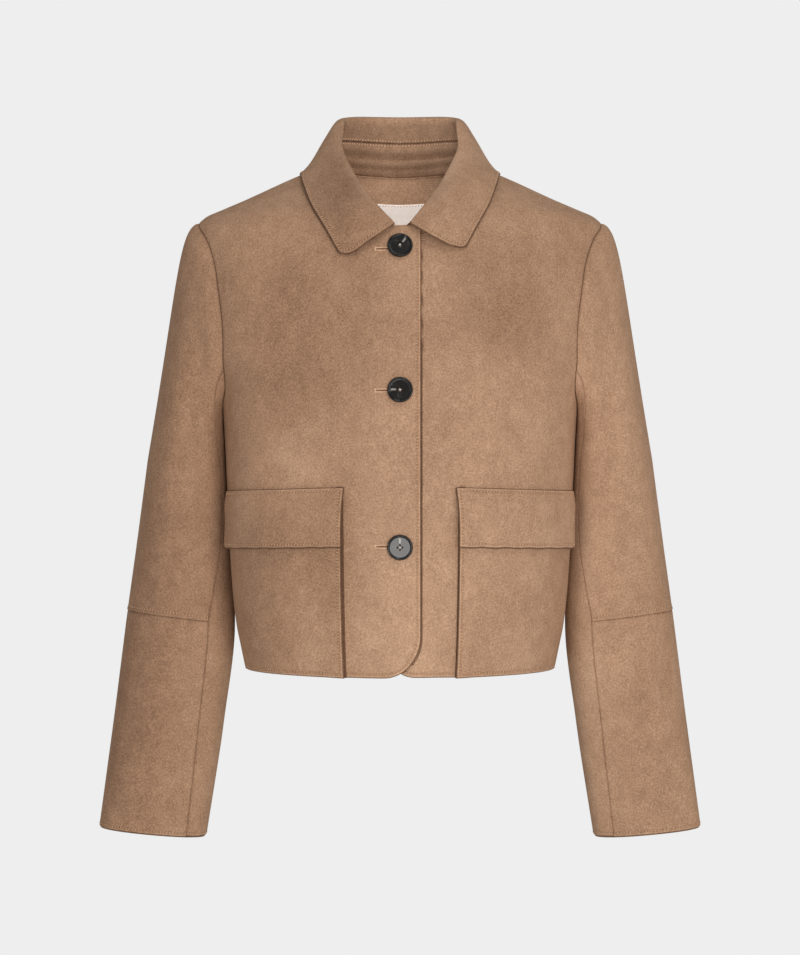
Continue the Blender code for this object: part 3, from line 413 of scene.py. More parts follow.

# Broad patches of painted light and shade, paler or darker as the light falls on each part, placed as the
# folds are
PAINTED_LIGHT_PATCHES = table(
    "top_x top_z low_x low_z width tone",
    (-0.233, -0.240, -0.300, -0.800, 0.055, -0.17),
    (-0.200, -0.010, -0.245, -0.420, 0.040, -0.11),
    (-0.172, -0.043, -0.181, -0.468, 0.018, -0.04),
    (-0.104, -0.053, -0.108, -0.290, 0.046, -0.15),
    (0.080, -0.043, 0.108, -0.222, 0.052, -0.12),
    (-0.029, 0.000, -0.031, -0.290, 0.034, -0.07),
    (-0.064, -0.170, -0.062, -0.600, 0.020, -0.06),
    (-0.111, -0.304, -0.137, -0.516, 0.050, -0.10),
    (0.010, -0.333, 0.012, -0.584, 0.050, 0.08),
    (0.166, -0.169, 0.196, -0.719, 0.018, 0.09),
    (0.172, -0.070, 0.182, -0.440, 0.016, 0.12),
    (-0.070, 0.030, -0.045, -0.110, 0.020, -0.13),
    (-0.046, 0.080, -0.042, -0.060, 0.020, -0.08),
    (0.052, 0.080, 0.040, -0.060, 0.014, 0.10),
    (-0.066, 0.022, -0.009, -0.063, 0.006, 0.13),
    (0.0685, 0.022, 0.008, -0.063, 0.006, 0.10),
    (0.230, -0.400, 0.262, -0.760, 0.034, -0.05),
    (0.170, -0.020, 0.176, -0.280, 0.022, -0.07),
)


# ---- tables

def cubic(start, end, leave, arrive, share):
    """A smooth run from start to end along these tangents."""
    rise = 3 * share**2 - 2 * share**3
    return (
        start * (1 - rise) + end * rise
        + leave * (share**3 - 2 * share**2 + share)
        + arrive * (share**3 - share**2)
    )


def follow(rows, column, at):
    """A column of a table as a smooth curve of its first column, which overshoots no row."""
    order = sorted(rows, key=lambda row: row[0])
    places = np.array([row[0] for row in order], dtype=float)
    values = np.array([getattr(row, column) for row in order], dtype=float)
    steps = np.diff(places)
    slopes = np.diff(values) / steps
    before, after = slopes[:-1], slopes[1:]
    same_way = before * after > 0
    weight_before, weight_after = 2 * steps[1:] + steps[:-1], steps[1:] + 2 * steps[:-1]
    safe_before, safe_after = np.where(same_way, before, 1.0), np.where(same_way, after, 1.0)
    mean = (weight_before + weight_after) / (weight_before / safe_before + weight_after / safe_after)
    tangents = np.concatenate(([slopes[0]], np.where(same_way, mean, 0.0), [slopes[-1]]))
    span = np.clip(np.searchsorted(places, at) - 1, 0, len(steps) - 1)
    step = steps[span]
    share = np.clip((at - places[span]) / step, *FOLLOW_PAST)
    return cubic(values[span], values[span + 1], step * tangents[span], step * tangents[span + 1], share)


def ease(share):
    """0 to 1 with level ends."""
    share = np.clip(share, 0.0, 1.0)
    return share * share * (3 - 2 * share)


def blend(first, second, share):
    return first * (1 - share) + second * share


def bell(off, width):
    """1 at nothing off, fading to both sides over this width."""
    return np.exp(-(off / width) ** 2)


def unit(vectors):
    return vectors / np.linalg.norm(vectors, axis=-1, keepdims=True)


def normals_of(surface, across, up, step_across, step_up):
    """Unit normals of a surface of two numbers, by small steps either way."""
    along_across = surface(across + step_across, up) - surface(across - step_across, up)
    along_up = surface(across, up + step_up) - surface(across, up - step_up)
    return unit(np.cross(along_across, along_up))


# ---- the body's form

def body_section(front, height):
    """Half width, depth and squareness of the body's front or back half."""
    depth, square = (
        np.where(front, follow(BODY, f"front_{size}", height), follow(BODY, f"back_{size}", height))
        for size in ("depth", "square")
    )
    return follow(BODY, "half_width", height), depth, square


def body_radius(turn, height):
    """Distance from the upright axis to the body's outer surface."""
    half_width, depth, square = body_section(np.cos(turn) > 0, height)
    sideways = (np.abs(np.sin(turn)) / half_width) ** square
    forwards = (np.abs(np.cos(turn)) / depth) ** square
    return (sideways + forwards) ** (-1 / square)


def body_point(turn, height):
    radius = body_radius(turn, height)
    return np.stack((radius * np.sin(turn), -radius * np.cos(turn), height + 0 * turn), axis=-1)


def body_normal(turn, height):
    return normals_of(body_point, turn, height, *BODY_NORMAL_STEPS)


def turn_at_depth(forward, height):
    """The turn, on the wearer's left, of the body's point this far in front of the upright axis."""
    half_width, depth, square = body_section(forward > 0, height)
    share = np.clip(np.abs(forward) / depth, 0, 1) ** square
    return np.arctan2(half_width * (1 - share) ** (1 / square), forward)


def neck_radius(turn):
    depth = np.where(np.cos(turn) > 0, NECK_FRONT, NECK_BACK)
    return 1 / np.sqrt((np.sin(turn) / NECK_HALF_WIDTH) ** 2 + (np.cos(turn) / depth) ** 2)


def neck_height(turn):
    """Height at which the body's surface meets the upright wall of the neck opening."""
    low, high = np.full_like(turn, ARMHOLE_BOTTOM), np.full_like(turn, NECK_SEARCH_TOP)
    for _ in range(40):
        middle = (low + high) / 2
        too_wide = body_radius(turn, middle) > neck_radius(turn)
        low, high = np.where(too_wide, middle, low), np.where(too_wide, high, middle)
    return np.minimum((low + high) / 2, 0.0)


def armhole(angle):
    """Turn, on the wearer's left, and height of the armhole: angle 0 at the shoulder, then the front."""
    middle = (ARMHOLE_TOP + ARMHOLE_BOTTOM) / 2
    half_height = (ARMHOLE_TOP - ARMHOLE_BOTTOM) / 2
    height = middle + half_height * np.cos(angle)
    reach = np.where(np.sin(angle) > 0, ARMHOLE_FRONT, ARMHOLE_BACK)
    forward = reach * np.sin(angle) * (1 - ARMHOLE_EGG * np.cos(angle))
    return turn_at_depth(forward, height), height


LOWER_ROWS = sum(level.rows for level in LEVELS)
PANEL_ROWS = LOWER_ROWS + UPPER_ROWS
FRONT_COLUMNS = sum(FRONT_SPANS)
BACK_COLUMNS = 2 * BACK_SHOULDER_COLUMNS + BACK_NECK_COLUMNS


def row_at(name):
    """The grid row that runs at a named level."""
    row = 0
    for level in LEVELS:
        row += level.rows
        if level.name == name:
            return row
    raise ValueError(name)


def lower_height(row, turn):
    """Height of a lower row of the body panels at any turn."""
    stops = np.cumsum([level.rows for level in LEVELS])
    centre = np.interp(row, stops, [level.centre for level in LEVELS])
    side = np.interp(row, stops, [level.side for level in LEVELS])
    return blend(centre, side, np.sin(turn) ** 2)


def side_turn(height):
    """The side and shoulder seams' turn, short of a quarter turn by half a seam's gap."""
    return math.pi / 2 - SEAM_GAP / 2 / follow(BODY, "half_width", height)


def edge_turn(height):
    """The front edge's turn, past the centre line."""
    return -np.arctan2(FRONT_EXTENSION, follow(BODY, "front_depth", height))


def front_lower(column, row):
    """Turn and height on a front panel below the underarm."""
    stops = np.cumsum((0,) + FRONT_SPANS)
    height = lower_height(row, 0 * row)
    turn = np.where(
        column < stops[1],
        blend(edge_turn(height), POCKET_INNER, column / stops[1]),
        np.interp(column, stops, (0, POCKET_INNER, POCKET_OUTER, math.pi / 2)),
    )
    height = lower_height(row, turn)
    return np.minimum(turn, side_turn(height)), height


def front_inner_edge(row):
    """Turn and height up a front edge and round the neck, for rows above the underarm."""
    start = lower_height(np.array(float(LOWER_ROWS)), np.array(0.0))
    corner_turn = edge_turn(np.array(NECK_CORNER))
    corner_height = neck_height(corner_turn)
    up_edge = np.clip(row / NECK_CORNER_ROW, 0, 1)
    edge_height = blend(start, corner_height, up_edge)
    neck_rows = UPPER_ROWS - NECK_CORNER_ROW
    leaf_turn = math.radians(180 - COLLAR_END)
    neck_turn = np.interp(row - NECK_CORNER_ROW, (0, 1, neck_rows), (corner_turn, leaf_turn, math.pi / 2))
    on_edge = row < NECK_CORNER_ROW
    turn = np.where(on_edge, edge_turn(edge_height), neck_turn)
    return turn, np.where(on_edge, edge_height, neck_height(neck_turn))


def fill_between(across, up, bottom, top, start, end):
    """A point of a four-sided patch from its edges, each given as turn and height."""
    filled = []
    for side in range(2):
        ruled_up = blend(bottom(across)[side], top(across)[side], up)
        ruled_across = blend(start(up)[side], end(up)[side], across)
        zero, one = np.zeros_like(across), np.ones_like(across)
        lower = blend(bottom(zero)[side], bottom(one)[side], across)
        upper = blend(top(zero)[side], top(one)[side], across)
        filled.append(ruled_up + ruled_across - blend(lower, upper, up))
    return filled


def front_upper(column, row):
    """Turn and height on a front panel above the underarm."""

    def bottom(across):
        return front_lower(across * FRONT_COLUMNS, np.full_like(across, LOWER_ROWS))

    def shoulder(across):
        height = ARMHOLE_TOP * across
        return side_turn(height), height

    def inner_edge(up):
        return front_inner_edge(up * UPPER_ROWS)

    def armhole_edge(up):
        turn, height = armhole(math.pi * (1 - up))
        return np.minimum(turn, side_turn(height)), height

    across, up = column / FRONT_COLUMNS, row / UPPER_ROWS
    return fill_between(across, up, bottom, shoulder, inner_edge, armhole_edge)


def front_place(column, row):
    """Turn and height on a front panel, for any column and row of its grid."""
    low = front_lower(column, np.minimum(row, LOWER_ROWS))
    high = front_upper(column, np.maximum(row - LOWER_ROWS, 0.0))
    above = row > LOWER_ROWS
    return np.where(above, high[0], low[0]), np.where(above, high[1], low[1])


def back_place(column, row):
    """Turn and height on the back, whose columns run from the wearer's left side to the right."""
    across = column / BACK_COLUMNS

    def seam_to_seam(share, height):
        edge = side_turn(height)
        return blend(math.pi - edge, math.pi + edge, share)

    def lower(share, at_row):
        turn = seam_to_seam(share, lower_height(at_row, np.full_like(share, math.pi / 2)))
        return turn, lower_height(at_row, turn)

    def bottom(share):
        return lower(share, np.full_like(share, LOWER_ROWS))

    def top(share):
        col = share * BACK_COLUMNS
        from_neck = np.clip(np.abs(col - BACK_COLUMNS / 2) - BACK_NECK_COLUMNS / 2, 0, None)
        shoulder_height = ARMHOLE_TOP * from_neck / BACK_SHOULDER_COLUMNS
        round_neck = np.clip((col - BACK_SHOULDER_COLUMNS) / BACK_NECK_COLUMNS, 0, 1)
        turn = seam_to_seam(round_neck, shoulder_height)
        return turn, np.where(from_neck > 0, shoulder_height, neck_height(turn))

    def left_armhole(up):
        turn, height = armhole(math.pi * (1 + up))
        return np.maximum(turn, math.pi - side_turn(height)), height

    def right_armhole(up):
        turn, height = left_armhole(up)
        return 2 * math.pi - turn, height

    low = lower(across, np.minimum(row, LOWER_ROWS))
    up = np.maximum(row - LOWER_ROWS, 0.0) / UPPER_ROWS
    high = fill_between(across, up, bottom, top, left_armhole, right_armhole)
    above = row > LOWER_ROWS
    return np.where(above, high[0], low[0]), np.where(above, high[1], low[1])


def pocket_out(column, row):
    """How far the pocket's wrong side stands off the front: flat at its stitched edges."""
    mouth = row_at("pocket mouth")
    across = np.clip((column - FRONT_SPANS[0]) / FRONT_SPANS[1], 0, 1)
    up = np.clip(row / mouth, 0, 1)
    return LAY_GAP + POCKET_BULGE * np.sin(math.pi * across) ** 0.5 * ease(up * 2)


def sleeve_ring(angle, along):
    """A point of the sleeve below the cap: angle 0 on the outer line, a quarter turn in front."""
    outer, outer_height, inner, inner_height, half_depth, middle, square = (
        follow(SLEEVE, column, along) for column in SLEEVE[0]._fields[1:]
    )
    outwards, forwards = (
        np.sign(way) * np.abs(way) ** (2 / square) for way in (np.cos(angle), np.sin(angle))
    )
    share = (1 - outwards) / 2
    height = blend(outer_height, inner_height, share)
    return np.stack((blend(outer, inner, share), middle - half_depth * forwards, height), axis=-1)


def sleeve_cap(angle, down):
    """A point between the armhole, where down is 0, and the upper arm, where it is 1."""
    turn, height = armhole(np.mod(angle, 2 * math.pi))
    start = body_point(turn, height) + np.array((ARMHOLE_GAP, 0, 0))
    end = sleeve_ring(angle, np.zeros_like(angle))
    towards_top = (1 + np.cos(angle)) / 2
    out = CAP_LEAVE + CAP_LEAVE_TOP * towards_top + CAP_LEAVE_SIDES * np.abs(np.sin(angle))
    hugging = ease((-np.cos(angle) - CAP_UNDER) / (1 - CAP_UNDER))
    drop = CAP_DROOP * out * towards_top + CAP_UNDER_DROP * hugging
    leave = np.stack((out * (1 - hugging), -CAP_LEAVE * np.sin(angle), -drop), axis=-1)
    hang = CAP_HANG + CAP_HANG_TOP * towards_top**1.3
    slant = -math.sin(ARM_SLANT) * hang * towards_top
    arrive = np.stack((slant, 0 * hang, math.cos(ARM_SLANT) * hang), axis=-1)
    share = down[..., None]
    return (
        start * (1 - share) ** 3
        + 3 * (start + leave) * share * (1 - share) ** 2
        + 3 * (end + arrive) * share**2 * (1 - share)
        + end * share**3
    )


def sleeve_point(angle, down):
    """A point of the outer surface: down runs 0 to 1 over the cap, then on to 2 at the cuff."""
    cap = sleeve_cap(angle, np.clip(down, 0, 1))
    arm = sleeve_ring(angle, np.clip(down - 1, 0, 1))
    return np.where((down < 1)[..., None], cap, arm)


def sleeve_normal(angle, down):
    """The normal, taken clear of the sleeve's two ends and of the line where its cap meets the arm."""
    step = SLEEVE_NORMAL_STEP
    clear = np.clip(down, step, 2 - step)
    clear = np.where(np.abs(clear - 1) < step, 1 + 1.2 * step, clear)
    return normals_of(sleeve_point, angle, clear, step, step)


def both_leaves():
    """The collar's stations on both sides, the wearer's right at negative degrees."""
    right = [
        row._replace(round=-row.round, roll_x=-row.roll_x, fall_x=-row.fall_x, edge_x=-row.edge_x)
        for row in COLLAR[1:]
    ]
    return tuple(right) + COLLAR[:-len(LEFT_LEAF)] + LEFT_LEAF


ALL_COLLAR = both_leaves()


def neck_line(round_angle):
    """The neck seam, straight between the panels' own corners. round_angle is 0 at the centre back."""
    back_step = 180 / BACK_NECK_COLUMNS
    front_step = (COLLAR_END - 90) / (UPPER_ROWS - NECK_CORNER_ROW - 1)
    back = np.arange(0, 90 + back_step / 2, back_step)
    front = 90 + front_step * np.arange(1, UPPER_ROWS - NECK_CORNER_ROW)
    half = np.concatenate((back, front))
    stops = np.concatenate((-half[:0:-1], half))
    turns = np.radians(180 - stops)
    corners = body_point(turns, neck_height(turns))
    return np.stack([np.interp(round_angle, stops, corners[:, axis]) for axis in range(3)], axis=-1)


def collar_point(round_angle, up):
    """The collar's right side. up is 0 at the neck seam, 1 at the stand's seam, 2 at the roll line,
    3 on the crown of the fall and 4 at its outer edge."""
    neck = neck_line(round_angle)
    roll, crown, edge = (
        np.stack([follow(ALL_COLLAR, f"{line}_{axis}", round_angle) for axis in "xyz"], axis=-1)
        for line in ("roll", "fall", "edge")
    )
    towards_end = ease(np.abs(round_angle) / COLLAR_END * 2 - 1)
    seam = blend(neck, roll, blend(STAND_SHARE, STAND_SHARE_AT_END, towards_end)[..., None])
    over = unit(crown - seam)

    def tangents(size_over):
        return np.stack((seam - neck, (roll - neck) / 2, over * size_over, (edge - roll) / 2, edge - crown))

    seam_size = np.linalg.norm(roll - seam, axis=-1, keepdims=True)
    crown_size = np.linalg.norm(crown - roll, axis=-1, keepdims=True)
    span = np.clip(np.floor(up).astype(int), 0, 3)
    pick = np.arange(len(span))
    knots = np.stack((neck, seam, roll, crown, edge))
    return cubic(
        knots[span, pick], knots[span + 1, pick], tangents(crown_size)[span, pick],
        tangents(seam_size)[span + 1, pick], (up - span)[..., None],
    )


def rest_on_body(points, clearance, weight):
    """Push points out so that they lie at least a clearance off the body, where weight is 1."""
    turn = np.arctan2(points[:, 0], -points[:, 1])
    height = np.minimum(points[:, 2], COLLAR_FREE)
    radius = np.hypot(points[:, 0], points[:, 1])
    outward = body_normal(turn, height)
    radial = np.stack((np.sin(turn), -np.cos(turn), 0 * turn), axis=-1)
    lift = (radius - body_radius(turn, height)) * np.sum(outward * radial, axis=-1)
    short = clearance - lift
    push = (short + np.sqrt(short**2 + COLLAR_GIVE**2)) / 2
    return points + outward * (push * weight * (points[:, 2] < COLLAR_FREE))[:, None]


def collar_surface(round_angle, up):
    points = collar_point(round_angle, up)
    return rest_on_body(points, FALL_CLOTH + COLLAR_REST, ease(up - 2))


def levels_per_metre(round_angle, level):
    """How far the levels run in a metre up the collar, from this one to the next."""
    here = np.full_like(round_angle, level)
    rise = collar_point(round_angle, here + 1) - collar_point(round_angle, here)
    return 1 / np.linalg.norm(rise, axis=-1)


# ---- finishes

def linear(hex_colour):
    """An sRGB colour as the linear RGBA that Blender's sockets take."""
    values = [int(hex_colour[place:place + 2], 16) / 255 for place in (0, 2, 4)]
    curve = [value / 12.92 if value <= 0.04045 else ((value + 0.055) / 1.055) ** 2.4 for value in values]
    return (*curve, 1.0)


def add_node(tree, kind, output, inputs=None, steps=(), **settings):
    """Add a node with its settings and links, and give back one of its outputs. An input is a value or the
    output that it is linked to; steps are the places and hex colours of a colour ramp."""
    node = tree.nodes.new(f"ShaderNode{kind}")
    for name, value in settings.items():
        setattr(node, name, value)
    for socket, value in (inputs or {}).items():
        if isinstance(value, bpy.types.NodeSocket):
            tree.links.new(value, node.inputs[socket])
        else:
            node.inputs[socket].default_value = value
    elements = node.color_ramp.elements if steps else ()
    for _ in steps[2:]:
        elements.new(1.0)
    for element, (place, hex_colour) in zip(elements, steps):
        element.position = place
        element.color = linear(hex_colour)
    return node.outputs[output]


def start_material(name, constants):
    """A material whose shader has these constants on its own sockets."""
    material = bpy.data.materials.new(name)
    material.use_nodes = True
    for socket, value in constants.items():
        material.node_tree.nodes["Principled BSDF"].inputs[socket].default_value = value
    return material, material.node_tree


def coat(tree, tone, steps, height=None, strength=1.0, depth=0.0):
    """Colour a material by its tone and roughen it by its height."""
    inputs = tree.nodes["Principled BSDF"].inputs
    tree.links.new(add_node(tree, "ValToRGB", "Color", {"Fac": tone}, steps), inputs["Base Color"])
    if height:
        rough = {"Height": height, "Strength": strength, "Distance": depth}
        tree.links.new(add_node(tree, "Bump", "Normal", rough), inputs["Normal"])


def suede_finish(name, steps):
    """Napped sheep suede, buffed and then brushed. The nap lies in patches some centimetres across, so the
    hide is a little mottled; single tufts catch the light as specks, and it has a soft sheen and no gloss.
    A raw edge is scuffed pale, partly a painted highlight; painted shade darkens seams, creases and what lies
    under edges, and broad patches of painted light and shade make the hide paler or darker."""
    material, tree = start_material(name, {
        "Roughness": 0.95, "Specular IOR Level": 0.18, "Sheen Weight": 0.12, "Sheen Roughness": 0.6,
        "Sheen Tint": linear("d9b797"),
    })
    place = add_node(tree, "TexCoord", "Object")
    brushed = add_node(tree, "Mapping", "Vector", {"Vector": place, "Scale": (1.0, 1.0, 0.7)})
    patches, strokes, tufts = (
        add_node(tree, "TexNoise", "Fac", {
            "Vector": coordinates, "Scale": 1 / size, "Detail": detail, "Roughness": roughness,
        })
        for coordinates, size, detail, roughness in (
            (brushed, NAP_PATCH, 3, 0.6), (brushed, NAP_STROKE, 3, 0.55), (place, NAP_TUFT, 2, 0.75),
        )
    )
    lie = add_node(tree, "Mix", "Result", {"Factor": STROKE_SHARE, "A": patches, "B": strokes})
    tone = add_node(tree, "Mix", "Result", {"Factor": TUFT_SHARE, "A": lie, "B": tufts})
    wear_and_painted_light = add_node(tree, "Attribute", "Fac", attribute_name="wear_and_painted_light")
    tone_with_painted_light = add_node(tree, "Math", "Value", {0: tone, 1: wear_and_painted_light}, operation="ADD")
    height = add_node(tree, "Mix", "Result", {"Factor": 0.7, "A": strokes, "B": tufts})
    coat(tree, tone_with_painted_light, steps, height, 0.6, NAP_DEPTH)
    return material


def thread_finish(name, dark, light):
    """Spun polyester sewing thread: two plies twisted hard, so it has a low lustre and small dark gaps."""
    material, tree = start_material(name, {
        "Roughness": 0.6, "Sheen Weight": 0.2, "Sheen Roughness": 0.4, "Specular IOR Level": 0.3,
    })
    place = add_node(tree, "TexCoord", "Object")
    ply = {"Vector": place, "Scale": 1 / (THREAD * 1.5), "Detail": 2}
    plies = add_node(tree, "TexNoise", "Fac", ply)
    coat(tree, plies, ((0.3, dark), (0.7, light)), plies, 0.5, THREAD / 4)
    return material


def horn_finish(name):
    """Cast polyester in imitation of horn, turned and tumbled to a polish: near black, with faint smoky
    clouds and one pale streak, a painted reflection, from the holes to the rim, which lies along the pattern
    attribute's X."""
    material, tree = start_material(name, {"Roughness": 0.1, "IOR": 1.38})
    pattern = add_node(tree, "Attribute", "Vector", attribute_name="pattern")
    smoke, glint = (
        add_node(tree, "TexNoise", "Fac", {"Vector": pattern, "Scale": 1 / size, "Detail": 3})
        for size in (SMOKE, GLINT_CLOUD)
    )
    along = add_node(tree, "SeparateXYZ", "X", {"Vector": pattern})
    aside = add_node(tree, "SeparateXYZ", "Y", {"Vector": pattern})
    beside = add_node(tree, "Math", "Value", {0: aside}, operation="ABSOLUTE")
    for value, (low, high) in ((beside, GLINT_SIDES), (along, GLINT_START), (along, GLINT_END)):
        fade = add_node(
            tree, "MapRange", "Result", {"Value": value, "From Min": low, "From Max": high},
            interpolation_type="SMOOTHSTEP",
        )
        glint = add_node(tree, "Math", "Value", {0: glint, 1: fade}, operation="MULTIPLY")
    tone = add_node(tree, "Mix", "Result", {"Factor": 0.6, "A": smoke, "B": glint})
    coat(tree, tone, ((0.1, "080808"), (0.26, "141312"), (0.42, "8a8782")))
    return material


def satin_finish(name):
    """Damask-woven polyester label, with fine ribs across it that are drawn coarse enough to show."""
    material, tree = start_material(name, {
        "Roughness": 0.5, "Sheen Weight": 0.25, "Sheen Roughness": 0.3, "Specular IOR Level": 0.4,
    })
    place = add_node(tree, "TexCoord", "Object")
    rib = {"Vector": place, "Scale": WAVE_TURN / LABEL_RIB, "Distortion": 0.4}
    ribs = add_node(tree, "TexWave", "Fac", rib, bands_direction="Z")
    slubs = add_node(tree, "TexNoise", "Fac", {"Vector": place, "Scale": 1 / SLUB, "Detail": 2})
    tone = add_node(tree, "Mix", "Result", {"Factor": 0.5, "A": ribs, "B": slubs})
    coat(tree, tone, ((0.2, "f4e2d8"), (0.8, "fffaf5")), ribs, 0.4, LABEL_RIB / 6)
    return material


SUEDE = suede_finish("brushed tan suede", (
    (0.0, "4c3325"), (0.32, "876852"), (0.50, "a58369"), (0.68, "c29f84"), (1.0, "e4c6aa"),
))
THREAD_TAN = thread_finish("spun polyester thread, tan", "a98467", "d6b08e")
THREAD_PALE = thread_finish("spun polyester thread, neck seam", "c1987a", "f6d2b2")
THREAD_PINK = thread_finish("spun polyester thread, buttonholes", "b58b6c", "e4c0a1")
THREAD_GREY = thread_finish("spun polyester thread, pale grey", "a8a49e", "dedad4")
HORN = horn_finish("polished polyester button")
SATIN = satin_finish("woven satin label")
# dark suede that stands for shade: the gusset strips, the rounds behind the buttons and the buttonhole slits
# are painted shade
SHADE_DARK_SUEDE = suede_finish("suede darkened as painted shade", ((0.3, "563c2b"), (0.7, "7b5a45")))


# ---- making and dressing pieces

def settle(piece, material, nodes=()):
    """Give a finished piece its material and body, and hide the CAD nodes it stands for."""
    piece.data.materials.append(material)
    piece.data.shade_smooth()
    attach(piece, "root")
    if nodes:
        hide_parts(*nodes)
    return piece


def new_piece(name, mesh):
    piece = bpy.data.objects.new(name, mesh)
    bpy.context.collection.objects.link(piece)
    return piece


def finished(bm, name, place=None):
    """The mesh of a working form, moved to its place."""
    mesh = bpy.data.meshes.new(name)
    bm.to_mesh(mesh)
    bm.free()
    if place is not None:
        mesh.transform(place)
    return mesh


def cloth_lines(size, step):
    """Grid lines over a unit length: close together near both edges, where the cloth is sewn."""
    near = np.array(EDGE_LINES) / size
    near = near[near < EDGE_SHARE]
    count = max(2, math.ceil((1 - 2 * near[-1]) * size / step))
    middle = np.linspace(near[-1], 1 - near[-1], count + 1)[1:-1]
    return np.concatenate((near, middle, 1 - near[::-1]))


def round_off(across, up, size_across, size_up):
    """Round the corner of a unit square at its start, so that each inset line stays at its distance."""
    inner_across = np.clip(1 - across / size_across, 0, None)
    inner_up = np.clip(1 - up / size_up, 0, None)
    corner = (inner_across > 0) & (inner_up > 0)
    reach = np.maximum(inner_across, inner_up)
    share = np.minimum(inner_across, inner_up) / np.where(corner, reach, 1.0)
    angle = np.where(inner_across > inner_up, share, 2 - share) * math.pi / 4
    round_across = size_across * (1 - reach * np.cos(angle))
    round_up = size_up * (1 - reach * np.sin(angle))
    return np.where(corner, round_across, across), np.where(corner, round_up, up)


def edge_distances(points):
    """Distances from each grid point along its lines to the start, end, bottom and top edges."""
    across = np.linalg.norm(np.diff(points, axis=0), axis=-1)
    up = np.linalg.norm(np.diff(points, axis=1), axis=-1)
    start = np.concatenate((np.zeros((1, points.shape[1])), np.cumsum(across, axis=0)))
    bottom = np.concatenate((np.zeros((points.shape[0], 1)), np.cumsum(up, axis=1)), axis=1)
    return start, start[-1] - start, bottom, bottom[:, -1:] - bottom


def nearest_edge(kinds, distances, wanted):
    """The distance to the nearest edge of these kinds."""
    near = [distance for distance, kind in zip(distances, kinds) if kind in wanted]
    return np.minimum.reduce(near) if near else np.full_like(distances[0], np.inf)


def cut_back(kinds, distances):
    """How far the right side's points move in from the start, end, bottom and top for the slope of a cut."""
    return [
        CUT_SLOPE * np.clip(1 - distance / CUT_REACH, 0, 1) * (kind == "raw")
        for distance, kind in zip(distances, kinds)
    ]


def edge_shape(kinds, distances):
    """How far the right side sinks and the wrong side rises near the edges.

    A raw edge is buffed round and dips under its row of stitches, a lapped one stands a little higher than
    the piece that it is sewn to, and a sewn edge rolls down into its seam.
    """
    cut = nearest_edge(kinds, distances, ("raw", "plain", "lapped"))
    rounded = EDGE_ROUND * np.clip(1 - cut / EDGE_ROUND, 0, 1) ** 2
    sink = SEAM_DEPTH * np.exp(-nearest_edge(kinds, distances, ("sewn",)) / SEAM_ROLL)
    sink = np.maximum(sink, EDGE_SINK * rounded)
    lap = LAP_RISE * np.exp(-((nearest_edge(kinds, distances, ("lapped",)) / LAP_WIDTH) ** 4))
    return sink - lap + STITCH_DIP * stitch_row(kinds, distances), EDGE_RISE * rounded


def stitch_row(kinds, distances):
    """1 along the row of stitches inside each raw or lapped edge, fading to both sides."""
    raw = nearest_edge(kinds, distances, ("raw",))
    inside = raw + CUT_SLOPE * np.clip(1 - raw / CUT_REACH, 0, 1)
    inside = np.minimum(inside, nearest_edge(kinds, distances, ("lapped",)))
    return bell(inside - STITCH_INSET, STITCH_DIP_WIDTH)


def edge_wear_and_shade(kinds, distances, seam_tone):
    """Changes of tone on the right and wrong side: a raw edge is scuffed pale, partly a painted highlight,
    its cut face is painted dark as the shade under the edge, and painted shade darkens each seam and each row
    of stitches."""
    raw = nearest_edge(kinds, distances, ("raw",))
    painted_shade = seam_tone * np.exp(-nearest_edge(kinds, distances, ("sewn",)) / SEAM_SHADE)
    painted_shade = painted_shade + STITCH_SHADE_TONE * stitch_row(kinds, distances)
    scuffed_highlight = SCUFF_HIGHLIGHT_TONE * bell(raw - SCUFF_PLACE, SCUFF_WIDTH)
    # painted shade: the cut face is drawn dark as the shadow line under a raw edge
    cut = CUT_SHADE_TONE * bell(raw, SCUFF_WIDTH)
    return scuffed_highlight - painted_shade - cut / 2, -painted_shade - cut


def turn_under(wrong_side, kinds):
    """Let the wrong side run on past each sewn edge, as a seam's turning does, so that no light shows."""
    borders = (
        (wrong_side[0], wrong_side[2]), (wrong_side[-1], wrong_side[-3]),
        (wrong_side[:, 0], wrong_side[:, 2]), (wrong_side[:, -1], wrong_side[:, -3]),
    )
    for kind, (edge, inside) in zip(kinds, borders):
        if kind == "sewn":
            edge += unit(edge - inside) * SEAM_TURN


def unit_slab(name, across, up):
    """A closed slab whose corners are numbered by their grid lines: (mesh, line across, line up, layer)."""
    columns, rows = len(across) - 1, len(up) - 1
    bm = bmesh.new()
    bmesh.ops.create_grid(bm, x_segments=columns, y_segments=rows, size=0.5)
    doubled = bmesh.ops.extrude_face_region(bm, geom=bm.faces[:], use_keep_orig=True)
    wrong_side = [item for item in doubled["geom"] if isinstance(item, bmesh.types.BMVert)]
    bmesh.ops.translate(bm, verts=wrong_side, vec=(0, 0, 1))
    bmesh.ops.recalc_face_normals(bm, faces=bm.faces[:])
    mesh = finished(bm, name)
    corners = np.empty(len(mesh.vertices) * 3)
    mesh.vertices.foreach_get("co", corners)
    places = (corners.reshape(-1, 3) + (0.5, 0.5, 0.0)) * (columns, rows, 1)
    return mesh, *np.round(places).astype(int).T


def signed_volume(mesh, corners):
    mesh.calc_loop_triangles()
    triangles = np.empty(len(mesh.loop_triangles) * 3, dtype=np.int32)
    mesh.loop_triangles.foreach_get("vertices", triangles)
    first, second, third = (corners[triangles.reshape(-1, 3)[:, place]] for place in range(3))
    return float(np.sum(first * np.cross(second, third))) / 6


